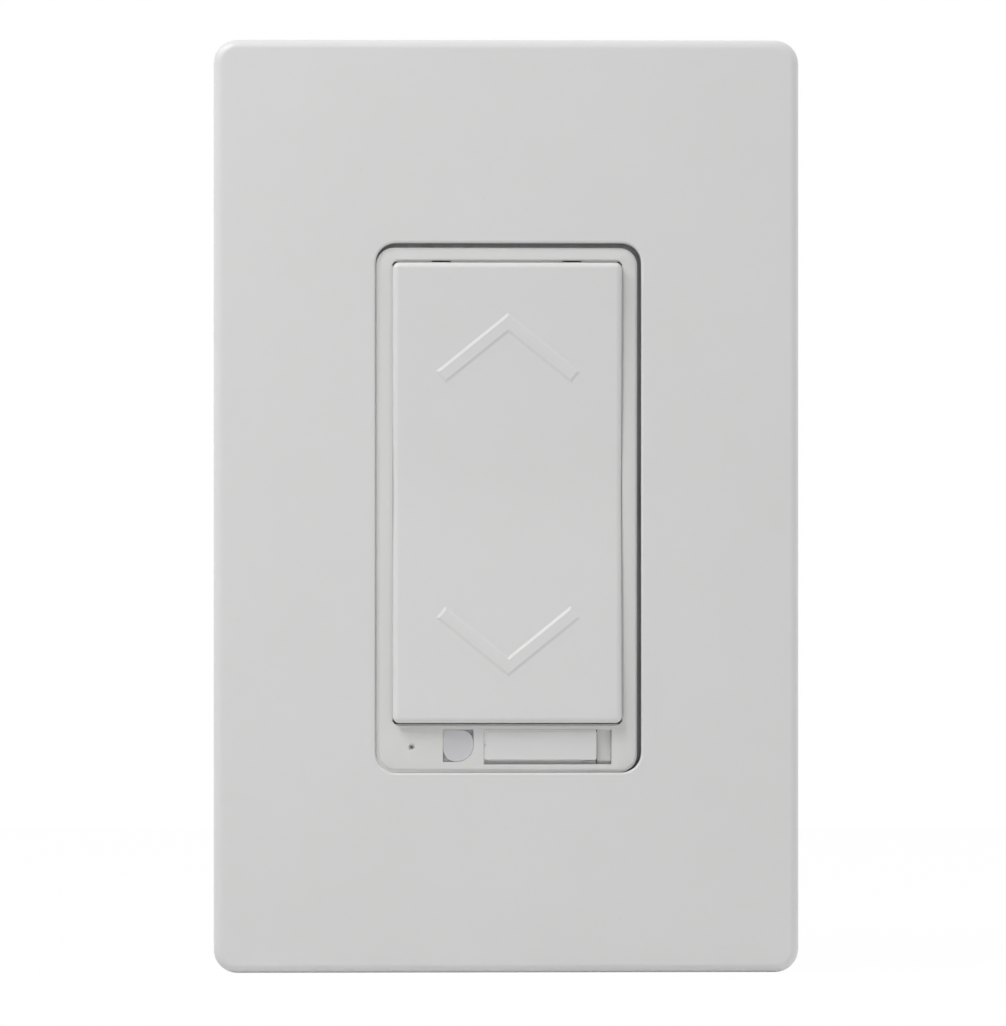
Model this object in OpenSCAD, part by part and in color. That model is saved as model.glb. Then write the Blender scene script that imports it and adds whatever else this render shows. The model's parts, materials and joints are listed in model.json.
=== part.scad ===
// Wall dimmer: a rocker paddle, a status lens, a reset pinhole and an air-gap slide bar
// in a bezel frame, behind a screwless wall plate, with the works in a rear housing.
// Millimetres. X is to the right, Y goes into the wall and Z is up.
// The origin is the middle of the device on the wall plane, so the front faces -Y.

/* [Wall plate] */
// Width of the wall plate
plate_w = 74.7; // [73:0.1:90]
// Height of the wall plate
plate_h = 119.1; // [117:0.1:135]
// Distance from the wall to the plate's front face
plate_depth = 7.6; // [7:0.1:9]
// Thickness of the plate's front wall
plate_face_t = 2; // [1.4:0.1:2.4]
// Thickness of the plate's side walls
plate_skirt_t = 1.6; // [1.2:0.1:2]
// Outer corner radius of the plate
plate_corner_r = 3; // [2:0.1:5]
// Rounding of the plate's front edge
plate_edge_r = 1.2; // [0.6:0.1:1.6]
// Mean gap between the plate's opening and the device frame
opening_gap = 0.5; // [0.35:0.05:0.8]
// How far the plate hangs to the right of the device
plate_hang_x = 0; // [-0.25:0.05:0.25]
// How far the plate hangs above the device
plate_hang_z = 0.2; // [-0.25:0.05:0.25]
// Thickness of the subplate sheet
subplate_t = 1.5; // [1.2:0.1:1.8]
// Width of each snap hook inside the plate
snap_w = 8; // [5:0.5:12]
// Distance of each snap hook from the plate's middle
snap_x = 22; // [16:0.5:26]

/* [Front frame] */
// Width of the device frame
frame_w = 33; // [32:0.1:34]
// Height of the device frame
frame_h = 66.4; // [65:0.1:67]
// Outer corner radius of the frame
frame_corner_r = 2.3; // [1.5:0.1:3]
// How far the frame's face lies behind the plate's face
frame_recess = 0.3; // [0:0.05:0.6]
// Width of the frame's rim beside the paddle
rim_side = 1.85; // [1.6:0.05:2.2]
// Width of the frame's rim above the paddle
rim_top = 1.6; // [1.4:0.1:2.2]
// Height of the control strip below the paddle
strip_h = 5.7; // [5.6:0.1:6.4]
// Thickness of the strip's face
strip_face_t = 1.5; // [1:0.1:1.8]
// Thickness of the frame's floor
frame_floor_t = 1.5; // [1.2:0.1:1.8]

/* [Paddle] */
// Gap at either side of the paddle
side_gap = 0.15; // [0.12:0.01:0.4]
// Gap at either end of the paddle
end_gap = 0.3; // [0.3:0.05:0.5]
// How far the paddle's ends stand proud of the frame
paddle_proud = 1.4; // [1.1:0.1:2]
// How far the paddle's middle lies below its ends
paddle_dip = 1; // [0.2:0.1:1.1]
// Thickness of the paddle's face at its middle
paddle_face_t = 0.8; // [0.7:0.1:1.2]
// Thickness of the paddle's skirt
paddle_skirt_t = 1.2; // [0.9:0.1:1.4]
// Rounding of the paddle's four corners
paddle_corner_r = 0.6; // [0.3:0.1:0.9]
// Rocking angle to either side
rock_deg = 2; // [1:0.25:2.25]
// Radius of the two pivot trunnions
trunnion_r = 1.2; // [1:0.1:1.4]
// Overall width of a chevron
chevron_w = 18.3; // [12:0.1:22]
// Width of a chevron's bar
chevron_bar = 2; // [1.2:0.1:3]
// Slope of a chevron's arms in degrees
chevron_deg = 39; // [25:1:50]
// Height of the chevrons above the paddle's face
chevron_raise = 0.35; // [0.2:0.05:0.6]
// Distance from a chevron's point to the paddle's end
chevron_inset = 6; // [4:0.1:10]

/* [Strip controls] */
// Share of the strip's width that the air-gap knob takes
knob_share = 0.485; // [0.4:0.005:0.5]
// Height of the air-gap knob
knob_h = 3.6; // [3.4:0.1:3.7]
// Distance from the knob's slot to the right end of the strip
slot_end_gap = 1.4; // [1.2:0.1:1.8]
// Travel of the air-gap knob
slide_travel = 1.5; // [1:0.1:1.5]
// Width of the pocket around the status lens
lens_pocket_w = 3.9; // [3.5:0.1:4.2]
// Wall between the status lens and the knob's slot
lens_wall = 1.35; // [1:0.05:1.6]
// Distance from the reset pinhole to the left end of the strip
pinhole_inset = 2.4; // [2.2:0.1:2.8]
// Radius of the reset pinhole
pinhole_r = 0.4; // [0.3:0.05:0.7]

/* [Yoke] */
// Thickness of the yoke
yoke_t = 1.5; // [1.2:0.1:1.8]
// How far the yoke reaches past each side of the rear housing
yoke_side = 1; // [0.5:0.1:4]
// How far the yoke's middle reaches past each end of the rear housing
yoke_end = 2.5; // [2.3:0.1:3]
// Overall length of the yoke
yoke_l = 106.4; // [105:0.1:108]
// Width of the yoke's ears
ear_w = 24; // [18:0.5:32]
// Pitch of the two box mounting screws
box_screw_pitch = 83.34; // [83.2:0.01:83.5]
// Pitch of the two wall plate screws
plate_screw_pitch = 96.84; // [96.6:0.01:97]
// Thread radius of the box, plate and terminal screws
thread_r = 1.75; // [1.6:0.01:1.8]
// Length of the box mounting screws under their heads
box_screw_l = 25.4; // [16:0.1:38]

/* [Rear housing] */
// Width of the rear housing
housing_w = 44; // [43.5:0.1:44]
// How far the rear housing reaches past each end of the frame
housing_over = 1.3; // [1:0.1:1.8]
// Depth of the rear housing behind the wall plane
housing_depth = 33; // [32:0.5:40]
// Wall thickness of the rear housing
housing_wall = 1.8; // [1.5:0.1:2]
// Corner radius of the rear housing
housing_corner_r = 2.5; // [2.2:0.1:4]
// Distance of the wire terminals above and below the middle
terminal_z = 12; // [10:0.5:14]
// Depth of the terminal pockets from the side walls
pocket_depth = 5; // [4.6:0.1:5.5]

/* [Works] */
// Thickness of both circuit boards
board_t = 1.6; // [1.2:0.1:2]
// Front face of the control board behind the wall plane
control_board_y = 6; // [5.8:0.1:6.6]
// Front face of the power board behind the wall plane
power_board_y = 15.5; // [14.5:0.1:16]
// Distance of the tap switches from the paddle's pivot
lever = 20; // [16:0.5:20.5]
// Radius of a tap switch plunger
plunger_r = 1.7; // [1.4:0.1:2]
// Travel of the reset plunger
reset_travel = 0.3; // [0.2:0.05:0.4]

/* [Hidden] */
$fn = 64;
slack = 0.02;
fine_gap = 0.05;
snug_gap = 0.1;
loose_gap = 0.3;
cut_over = 1;

// Levels along Y
plate_front_y = -plate_depth;
plate_inner_y = plate_front_y + plate_face_t;
yoke_front_y = -yoke_t;
subplate_front_y = yoke_front_y - subplate_t;
floor_front_y = yoke_front_y - frame_floor_t;
frame_front_y = plate_front_y + frame_recess;
strip_back_y = frame_front_y + strip_face_t;
paddle_front_y = frame_front_y - paddle_proud;
paddle_mid_y = paddle_front_y + paddle_dip;
paddle_inner_y = paddle_mid_y + paddle_face_t;

// Wall plate
cavity_w = plate_w - 2 * plate_skirt_t;
cavity_h = plate_h - 2 * plate_skirt_t;
cavity_r = max(plate_corner_r - plate_skirt_t, 0.4);
opening_w = frame_w + 2 * opening_gap;
opening_h = frame_h + 2 * opening_gap;
opening_r = frame_corner_r + opening_gap / 2;
subplate_gap = 0.5;
subplate_w = cavity_w - 2 * subplate_gap;
subplate_h = cavity_h - 2 * subplate_gap;
subplate_r = max(cavity_r - subplate_gap / 2, 0.3);
subplate_rim_t = 1.4;
snap_hold = 1;
snap_reach = subplate_gap + snap_hold;
snap_front_y = yoke_front_y + snug_gap;
snap_back_y = -loose_gap;
head_clear_r = 5;
plate_screw_slack = 0.45;
plate_screw_hole_r = thread_r + plate_screw_slack;

// Frame window and paddle
window_w = frame_w - 2 * rim_side;
window_top = frame_h / 2 - rim_top;
window_bottom = strip_h - frame_h / 2;
window_h = window_top - window_bottom;
pivot_z = (window_top + window_bottom) / 2;
trunnion_lift = 0.6;
pivot_y = floor_front_y - trunnion_r - trunnion_lift;
trunnion_hole_r = trunnion_r + fine_gap;
paddle_w = window_w - 2 * side_gap;
paddle_h = window_h - 2 * end_gap;
end_press = paddle_h / 2 * tan(rock_deg);
skirt_gap = 0.45;
skirt_back_y = floor_front_y - end_press - skirt_gap;
face_tilt = atan(2 * paddle_dip / paddle_h);
face_l = paddle_h / 2 / cos(face_tilt);
lug_wall = 1.6;
lug_half = trunnion_r + lug_wall;
lug_gap = 0.25;
lug_back_y = floor_front_y - lug_half * tan(rock_deg) - lug_gap;
trunnion_reach = side_gap + rim_side - loose_gap;
press = lever * rock_deg * PI / 180;
pad_over_plunger = 0.8;
pad_r = plunger_r + pad_over_plunger;
pad_h = 0.9;
pad_back_y = paddle_inner_y + pad_h;
hook_x = 8.35;
hook_w = 1.9;
hook_side_gap = 0.25;
hook_end_gap = 0.35;
notch_w = hook_w + 2 * hook_side_gap;
notch_d = 0.2;
hook_reach = end_gap + notch_d - hook_end_gap;
hook_l = 1.1;

// Control strip
knob_gap = 0.3;
knob_side_gap = 0.2;
knob_lift = 0.12;
strip_slot_h = knob_h + 2 * knob_gap;
strip_rib = 0.6;
strip_z = window_bottom - strip_rib - strip_slot_h / 2;
knob_w = knob_share * window_w;
slot_right = window_w / 2 - slot_end_gap;
knob_left = slot_right - knob_side_gap - slide_travel - knob_w;
slot_left = knob_left - knob_side_gap;
knob_mid = knob_left + knob_w / 2;
lens_x = slot_left - lens_wall - lens_pocket_w / 2;
pinhole_x = pinhole_inset - window_w / 2;
knob_t = 2.3;
knob_back_y = frame_front_y + knob_t;
socket_d = 1.2;
lens_pocket_h = strip_slot_h;
lens_gap = 0.15;
lens_w = lens_pocket_w - 2 * lens_gap;
lens_h = lens_pocket_h - 2 * lens_gap;
lens_dome_r = min(lens_w, lens_h) / 2 - fine_gap;
lens_recess = 0.75;
lens_dome_h = 0.6;
lens_dome_sphere_r = (pow(lens_dome_r, 2) + pow(lens_dome_h, 2)) / (2 * lens_dome_h);
lens_flange_t = 1.2;
lens_flange_over = 0.7;
pipe_r = 1.5;

// Clamping screws, placed about the pivot so that they clear the paddle
clamp_screw_r = 1.1;
clamp_hole_gap = 0.15;
clamp_hole_r = clamp_screw_r + clamp_hole_gap;
clamp_head_r = 2.1;
clamp_head_h = 1.5;
clamp_sink = clamp_head_h + loose_gap;
boss_r = 2.5;
boss_side_gap = 0.8;
boss_end_gap = 1.05;
boss_face_gap = 0.4;
boss_cap_t = 0.8;
clamp_x = paddle_w / 2 - paddle_skirt_t - boss_side_gap - boss_r;
clamp_z = paddle_h / 2 - paddle_skirt_t - boss_end_gap - boss_r;
boss_front_y = paddle_inner_y + end_press + boss_face_gap;
boss_hole_front_y = boss_front_y + boss_cap_t;
column_front_r = 2;
column_mid_r = 3;
column_back_r = 4;

// Boards
control_board_back_y = control_board_y + board_t;
power_board_back_y = power_board_y + board_t;
housing_h = frame_h + 2 * housing_over;
housing_inner_w = housing_w - 2 * housing_wall;
housing_inner_h = housing_h - 2 * housing_wall;
rear_room = housing_depth - housing_wall - power_board_back_y;
board_gap = 0.4;
board_w = housing_inner_w - 2 * board_gap;
board_h = housing_inner_h - 2 * board_gap;
board_hole_gap = 0.15;
board_step_z = -13;

// Tap switches
switch_side = 8;
switch_front_y = 0.4;
switch_cap_t = 1;
switch_bore_r = 3;
guide_gap = 0.08;
collar_r = switch_bore_r - loose_gap;
collar_t = 1;
collar_front_y = switch_front_y + switch_cap_t + press + snug_gap;
collar_back_y = collar_front_y + collar_t;
plunger_front_y = pad_back_y + 1.2 * snug_gap;
pill_r = 1;
pill_t = 0.8;
pill_back_y = control_board_y - press - guide_gap;
pill_front_y = pill_back_y - pill_t;
pin_r = 0.8;
spring_r = 2;
spring_wire_r = 0.2;
spring_turns = 3;

// Air-gap switch
actuator_w = 9;
actuator_h = 2.8;
stem_w = 6;
stem_h = 2.2;
stem_gap = 0.15;
airgap_wall = 0.7;
airgap_side_gap = 0.5;
airgap_front_y = 0.4;
airgap_cap_t = 1;
actuator_front_y = airgap_front_y + airgap_cap_t + snug_gap;
actuator_t = 1.6;
actuator_back_y = actuator_front_y + actuator_t;
airgap_cavity_h = actuator_h + 4 * snug_gap;
bridge_t = 0.4;
bridge_inset = 0.5;
bridge_w = actuator_w - 2 * bridge_inset;
bridge_h = 2;
bump_w = 0.5;
bump_t = 0.4;
bump_x = bridge_w / 2 - bump_w / 2;
bump_back_y = actuator_back_y + bridge_t + bump_t;

// Reset switch
reset_side = 4.4;
reset_front_y = 2.5;
reset_cap_t = 0.7;
reset_stem_r = 0.8;
reset_collar_r = 1.3;
reset_collar_t = 0.8;
reset_bore_gap = 0.2;
reset_collar_front_y = reset_front_y + reset_cap_t + snug_gap;
reset_tip_y = 0.6;
reset_pin_r = 0.5;

// Status diode
led_w = 3;
led_h = 2.6;
led_t = 1.8;

// Triac on the back of the yoke
triac_z = -4;
triac_w = 10;
triac_side_gap = 0.6;
triac_x = housing_inner_w / 2 - triac_w / 2 - triac_side_gap;
triac_board_gap = 0.8;
board_step_x = triac_x - triac_w / 2 - triac_board_gap;
triac_body_l = 9.2;
triac_body_t = 4.4;
triac_tab_l = 15.6;
triac_tab_t = 1.3;
triac_hole_inset = 2.8;
triac_hole_z = triac_z + triac_tab_l - triac_hole_inset;
triac_lead_pitch = 2.54;
triac_lead_w = 0.8;
triac_lead_t = 0.5;
triac_lead_drop = 3;
triac_screw_r = 1.5;
triac_head_r = 2.8;
triac_head_h = 2;
pad_t = 0.3;
pad_over = 0.3;

// Wire terminals
terminal_side = 8;
terminal_t = 1;
terminal_gap = 0.5;
pocket_side = terminal_side + 2 * terminal_gap;
pocket_wall = 1.5;
pocket_board_gap = 0.9;
pocket_front_y = power_board_back_y + pocket_board_gap + pocket_wall;
pocket_mid_y = pocket_front_y + pocket_side / 2;
pocket_floor_x = housing_w / 2 - pocket_depth;
pocket_floor_t = 2.5;
pocket_floor_skin = 0.8;
terminal_lug_w = 3;
terminal_lug_gap = 0.2;
terminal_lug_over = 0.6;
terminal_wire_gap = 1.8;
terminal_head_r = 3.4;
terminal_head_h = 1.8;
terminal_screw_end = 1.4;
terminal_screw_l = terminal_wire_gap + terminal_t + terminal_screw_end;

// Screw heads and washers
head_r = 3.4;
head_h = 1.8;
driver_slot_w = 1;
neck_r = thread_r - loose_gap;
washer_r = 4;
washer_t = 0.3;
washer_gap = 0.15;
box_slot_l = 8;
box_slot_gap = 0.35;
box_slot_r = thread_r + box_slot_gap;
yoke_w = housing_w + 2 * yoke_side;
yoke_body_h = housing_h + 2 * yoke_end;
yoke_corner_r = 2;
ear_corner_r = 3;
yoke_cut_y = yoke_front_y - cut_over;
yoke_plunger_gap = 0.5;
ground_y = 5;
ground_tab_w = 8;
ground_tab_l = 9;
ground_inset = 3;
ground_x = yoke_w / 2 - ground_tab_w / 2 - ground_inset;
ground_screw_end = 0.6;
ground_screw_l = yoke_t + ground_screw_end;

// Parts on the power board
choke_z = 6;
choke_core_r = 6;
choke_core_thick_r = 2.8;
choke_wire_r = 0.35;
choke_turns = 15;
choke_sweep = 310;
choke_reach = choke_core_thick_r + choke_wire_r + loose_gap;
choke_y = power_board_back_y + choke_reach + choke_wire_r + fine_gap;
film_z = -9.5;
film_w = 17.5;
film_h = 8;
film_corner_r = 0.8;
rear_gap = 2.6;
film_t = rear_room - rear_gap;
can_z = -24.5;
can_r = 4;
can_l = rear_room - rear_gap;
can_groove_r = 3.6;
can_groove_y = 1.6;
can_groove_w = 0.8;
varistor_z = 23.5;
varistor_r = 4.5;
varistor_t = 3.6;
varistor_stand = 1.2;
lead_r = 0.4;
lead_x = 2.5;

// Parts on the control board
chip_inset = 8.8;
chip_x = chip_inset - board_w / 2;
chip_z = 4;
chip_side = 9;
chip_t = 1.4;
chip_leg_count = 8;
chip_leg_w = 0.4;
chip_leg_l = 1;
chip_leg_t = 0.6;
chip_stand = 0.1;
chip_leg_margin = 0.5;
header_inset = 3.8;
header_x = header_inset - board_w / 2;
header_z = 0;
header_w = 4;
header_pitch = 2.54;
header_count = 6;
header_base_t = 2.5;
header_pin_w = 0.64;

// Shared shapes

// Pulls a shape drawn in X and Z out along Y from y0 to y1
module along_y(y0, y1) {
    translate([0, y1, 0])
        rotate([90, 0, 0])
            linear_extrude(height = y1 - y0)
                children();
}

module rounded_rect(w, h, r) {
    square([w - 2 * r, h], center = true);
    square([w, h - 2 * r], center = true);
    for (sx = [-1, 1], sz = [-1, 1])
        translate([sx * (w / 2 - r), sz * (h / 2 - r)])
            circle(r);
}

module rod_y(r, y0, y1) {
    translate([0, y0, 0])
        rotate([-90, 0, 0])
            cylinder(h = y1 - y0, r = r);
}

module block(x0, x1, y0, y1, z0, z1) {
    translate([x0, y0, z0])
        cube([x1 - x0, y1 - y0, z1 - z0]);
}

// A block whose middle line is the Y axis
module bar_y(w, h, y0, y1) {
    block(-w / 2, w / 2, y0, y1, -h / 2, h / 2);
}

module quarter_disc(r) {
    intersection() {
        circle(r);
        square(r);
    }
}

// A quarter disc that also sinks a little into what lies behind its two straight sides
module edge_round(r) {
    quarter_disc(r);
    translate([-slack, -slack]) {
        square([2 * slack, r]);
        square([r, 2 * slack]);
    }
}

// A rounded plate whose front edge is rounded too
module soft_slab(w, h, corner, y_front, y_back, edge) {
    seam_y = y_front + edge;
    along_y(seam_y, y_back)
        rounded_rect(w, h, corner);
    along_y(y_front, seam_y + slack)
        rounded_rect(w - 2 * edge, h - 2 * edge, corner - edge);
    translate([0, seam_y, 0]) {
        for (turn = [0, 90, 180, 270]) {
            out = turn % 180 == 0 ? w / 2 : h / 2;
            run = (turn % 180 == 0 ? h : w) - 2 * corner;
            rotate([0, turn, 0])
                translate([out - edge, 0, -run / 2])
                    linear_extrude(height = run)
                        mirror([0, 1])
                            edge_round(edge);
        }
        for (turn = [0, 90, 180, 270]) {
            sx = turn == 0 || turn == 270 ? 1 : -1;
            sz = turn < 180 ? 1 : -1;
            translate([sx * (w / 2 - corner), 0, sz * (h / 2 - corner)])
                rotate([90, 0, 0])
                    rotate([0, 0, turn])
                        rotate_extrude(angle = 90)
                            translate([corner - edge, 0])
                                edge_round(edge);
        }
    }
}

module at_box_screws() {
    for (s = [-1, 1])
        translate([0, 0, s * box_screw_pitch / 2])
            children();
}

module at_plate_screws() {
    for (s = [-1, 1])
        translate([0, 0, s * plate_screw_pitch / 2])
            children();
}

module at_clamp_screws() {
    for (sx = [-1, 1], sz = [-1, 1])
        translate([sx * clamp_x, 0, pivot_z + sz * clamp_z])
            children();
}

module at_tap_switch(side) {
    translate([0, 0, pivot_z + side * lever])
        children();
}

// Each wire terminal, drawn as if on the +X side
module at_terminals() {
    for (side = [0, 1], sz = [-1, 1])
        mirror([side, 0, 0])
            translate([0, 0, sz * terminal_z])
                children();
}

// Each snap hook, drawn as if at the top
module at_snaps() {
    for (sx = [-1, 1], sz = [0, 1])
        mirror([0, 0, sz])
            translate([sx * snap_x, 0, 0])
                children();
}

module with_plate() {
    translate([plate_hang_x, 0, plate_hang_z])
        children();
}

// A domed screw head with a driver slot, its underside at y = 0 and its top toward -Y
module slotted_head(r, h) {
    dome = h * 0.4;
    slot_d = h * 0.55;
    ball_r = (r * r + dome * dome) / (2 * dome);
    difference() {
        union() {
            rod_y(r, dome - h, 0);
            intersection() {
                translate([0, ball_r - h, 0])
                    sphere(ball_r);
                rod_y(r, -h - cut_over, dome - h);
            }
        }
        bar_y(2 * (r + cut_over), driver_slot_w, -h - cut_over, slot_d - h);
    }
}

function unit(v) = v / norm(v);
function path_dir(path, i) = unit(path[min(i + 1, len(path) - 1)] - path[max(i - 1, 0)]);

// A round wire along a path, each ring kept level with its own up direction
module wire(path, up, r) {
    sides = 6;
    count = len(path);
    points = [for (i = [0:count - 1])
        let (dir = path_dir(path, i), side = unit(cross(dir, up[i])), over = cross(dir, side))
        for (k = [0:sides - 1])
            path[i] + r * (cos(360 * k / sides) * side + sin(360 * k / sides) * over)];
    skin = [for (i = [0:count - 2], k = [0:sides - 1])
        let (a = i * sides + k, b = i * sides + (k + 1) % sides)
        each [[a, a + sides, b + sides], [a, b + sides, b]]];
    start_cap = [for (k = [0:sides - 1]) k];
    end_cap = [for (k = [0:sides - 1]) count * sides - 1 - k];
    polyhedron(points, concat(skin, [start_cap, end_cap]));
}

// Wall plate

module wallplate_cover() {
    color("Gainsboro")
        with_plate() {
            difference() {
                soft_slab(plate_w, plate_h, plate_corner_r, plate_front_y, 0, plate_edge_r);
                difference() {
                    along_y(plate_inner_y, cut_over)
                        rounded_rect(cavity_w, cavity_h, cavity_r);
                    at_snaps()
                        block(-snap_w / 2, snap_w / 2, snap_front_y, snap_back_y,
                            cavity_h / 2 - snap_reach, cavity_h / 2 + cut_over);
                }
                along_y(plate_front_y - cut_over, plate_inner_y + cut_over)
                    rounded_rect(opening_w, opening_h, opening_r);
            }
        }
}

module wallplate_subplate() {
    color("WhiteSmoke")
        with_plate()
            difference() {
                union() {
                    along_y(subplate_front_y, yoke_front_y)
                        rounded_rect(subplate_w, subplate_h, subplate_r);
                    along_y(yoke_front_y, 0)
                        difference() {
                            rounded_rect(subplate_w, subplate_h, subplate_r);
                            square([subplate_w - 2 * subplate_rim_t, subplate_h - 2 * subplate_rim_t],
                                center = true);
                        }
                }
                along_y(subplate_front_y - cut_over, cut_over)
                    rounded_rect(opening_w + 2 * loose_gap, opening_h + 2 * loose_gap, opening_r);
                at_box_screws()
                    rod_y(head_clear_r, subplate_front_y - cut_over, cut_over);
                at_plate_screws()
                    rod_y(plate_screw_hole_r, subplate_front_y - cut_over, cut_over);
                at_snaps()
                    block(-snap_w / 2 - loose_gap, snap_w / 2 + loose_gap, yoke_front_y, cut_over,
                        subplate_h / 2 - 2 * subplate_rim_t, subplate_h / 2 + cut_over);
            }
}

module subplate_screws() {
    color("White")
        at_plate_screws() {
            translate([0, subplate_front_y, 0])
                slotted_head(head_r, head_h);
            rod_y(thread_r, subplate_front_y, -snug_gap);
        }
}

// Front frame and what shows in its strip

module front_frame() {
    color("Gainsboro")
        difference() {
            union() {
                difference() {
                    soft_slab(frame_w, frame_h, frame_corner_r, frame_front_y, yoke_front_y, loose_gap);
                    block(-window_w / 2, window_w / 2, frame_front_y - cut_over, floor_front_y,
                        window_bottom, window_top);
                    block(-window_w / 2, window_w / 2, strip_back_y, 0,
                        strip_z - strip_slot_h / 2, strip_z + strip_slot_h / 2);
                }
                at_clamp_screws()
                    rod_y(boss_r, boss_front_y, floor_front_y + slack);
            }
            for (sx = [-1, 1])
                translate([sx * hook_x, 0, 0])
                    block(-notch_w / 2, notch_w / 2, frame_front_y - cut_over, floor_front_y,
                        window_top - cut_over, window_top + notch_d);
            block(slot_left, slot_right, frame_front_y - cut_over, strip_back_y + cut_over,
                strip_z - strip_slot_h / 2, strip_z + strip_slot_h / 2);
            block(lens_x - lens_pocket_w / 2, lens_x + lens_pocket_w / 2, frame_front_y - cut_over,
                strip_back_y + cut_over, strip_z - lens_pocket_h / 2, strip_z + lens_pocket_h / 2);
            translate([pinhole_x, 0, strip_z])
                rod_y(pinhole_r, frame_front_y - cut_over, strip_back_y + cut_over);
            translate([-frame_w, pivot_y, pivot_z])
                rotate([0, 90, 0])
                    cylinder(h = 2 * frame_w, r = trunnion_hole_r);
            at_clamp_screws()
                rod_y(clamp_screw_r + fine_gap, boss_hole_front_y, 0);
            for (side = [-1, 1])
                at_tap_switch(side)
                    rod_y(plunger_r + guide_gap, floor_front_y - cut_over, 0);
        }
}

module light_pipe() {
    step_y = frame_front_y + lens_recess;
    color("LightSteelBlue")
        translate([lens_x, 0, strip_z]) {
            intersection() {
                translate([0, step_y - lens_dome_h + lens_dome_sphere_r, 0])
                    sphere(lens_dome_sphere_r);
                rod_y(lens_dome_r, step_y - lens_dome_h - cut_over, step_y + slack);
            }
            bar_y(lens_w, lens_h, step_y, strip_back_y + slack);
            block(-lens_w / 2 - lens_flange_over, lens_w / 2 + lens_flange_over, strip_back_y + slack,
                strip_back_y + lens_flange_t, -lens_h / 2, lens_h / 2);
            rod_y(pipe_r, strip_back_y + lens_flange_t / 2, control_board_y - led_t - loose_gap);
        }
}

module chevron() {
    half = chevron_bar / 2;
    arm = (chevron_w / 2 - half * sin(chevron_deg)) / cos(chevron_deg);
    peak = half / cos(chevron_deg);
    end_x = arm * cos(chevron_deg);
    end_z = -arm * sin(chevron_deg) - peak;
    over_x = half * sin(chevron_deg);
    over_z = half * cos(chevron_deg);
    polygon([[0, 0], [end_x + over_x, end_z + over_z], [end_x - over_x, end_z - over_z], [0, -2 * peak],
        [over_x - end_x, end_z - over_z], [-end_x - over_x, end_z + over_z]]);
}

// The paddle's body, its face folded so that the middle lies lowest
module paddle_body() {
    far_z = paddle_h / 2 + cut_over;
    far_y = paddle_mid_y - far_z * tan(face_tilt);
    back_y = skirt_back_y + cut_over;
    intersection() {
        along_y(far_y - cut_over, skirt_back_y)
            rounded_rect(paddle_w, paddle_h, paddle_corner_r);
        rotate([90, 0, 90])
            linear_extrude(height = 2 * paddle_w, center = true)
                polygon([[paddle_mid_y, 0], [far_y, far_z], [back_y, far_z], [back_y, -far_z],
                    [far_y, -far_z]]);
    }
}

// The chevron of the upper half, lying on the leaning face
module raised_chevron() {
    translate([0, paddle_mid_y, 0])
        rotate([face_tilt, 0, 0])
            along_y(-chevron_raise, slack)
                translate([0, face_l - chevron_inset])
                    chevron();
}

module paddle() {
    color("Gainsboro") {
        translate([0, 0, pivot_z]) {
            difference() {
                paddle_body();
                block(paddle_skirt_t - paddle_w / 2, paddle_w / 2 - paddle_skirt_t, paddle_inner_y, 0,
                    paddle_skirt_t - paddle_h / 2, paddle_h / 2 - paddle_skirt_t);
            }
            for (side = [0, 1])
                mirror([0, 0, side])
                    raised_chevron();
            for (side = [0, 1])
                mirror([side, 0, 0]) {
                    block(paddle_w / 2 - paddle_skirt_t, paddle_w / 2, skirt_back_y - slack, lug_back_y,
                        -lug_half, lug_half);
                    translate([paddle_w / 2 - paddle_skirt_t / 2, pivot_y, 0])
                        rotate([0, 90, 0])
                            cylinder(h = trunnion_reach + paddle_skirt_t / 2, r = trunnion_r);
                }
            for (sx = [-1, 1])
                translate([sx * hook_x, 0, 0])
                    block(-hook_w / 2, hook_w / 2, skirt_back_y - hook_l, skirt_back_y,
                        paddle_h / 2 - paddle_skirt_t, paddle_h / 2 + hook_reach);
        }
        for (side = [-1, 1])
            at_tap_switch(side)
                rod_y(pad_r, paddle_inner_y - slack, pad_back_y);
    }
}

module airgap_knob() {
    color("Gainsboro")
        translate([knob_mid, 0, strip_z + knob_lift])
            difference() {
                soft_slab(knob_w, knob_h, loose_gap, frame_front_y, knob_back_y, loose_gap / 2);
                translate([0, 0, -knob_lift])
                    bar_y(stem_w, stem_h, knob_back_y - socket_d, knob_back_y + cut_over);
            }
}

// Yoke and its screws

module yoke() {
    color("Silver") {
        difference() {
            along_y(yoke_front_y, 0) {
                rounded_rect(yoke_w, yoke_body_h, yoke_corner_r);
                rounded_rect(ear_w, yoke_l, ear_corner_r);
            }
            at_box_screws() {
                rod_y(box_slot_r, yoke_cut_y, cut_over);
                for (sx = [-1, 1])
                    translate([sx * (box_slot_l / 2 - box_slot_r), 0, 0])
                        rod_y(box_slot_r, yoke_cut_y, cut_over);
                bar_y(box_slot_l - 2 * box_slot_r, 2 * box_slot_r, yoke_cut_y, cut_over);
            }
            at_plate_screws()
                rod_y(thread_r + fine_gap, yoke_cut_y, cut_over);
            at_clamp_screws()
                rod_y(clamp_hole_r, yoke_cut_y, cut_over);
            for (side = [-1, 1])
                at_tap_switch(side)
                    rod_y(plunger_r + yoke_plunger_gap, yoke_cut_y, cut_over);
            block(-window_w / 2, window_w / 2, yoke_cut_y, cut_over,
                strip_z - strip_slot_h / 2, strip_z + strip_slot_h / 2);
            translate([triac_x, 0, triac_hole_z])
                rod_y(triac_screw_r + fine_gap, yoke_cut_y, cut_over);
        }
        translate([ground_x, 0, -yoke_body_h / 2])
            difference() {
                block(-ground_tab_w / 2, ground_tab_w / 2, -yoke_t / 2, ground_tab_l, 0, yoke_t);
                translate([0, ground_y, -cut_over])
                    cylinder(h = yoke_t + 2 * cut_over, r = thread_r + fine_gap);
            }
    }
}

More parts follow.
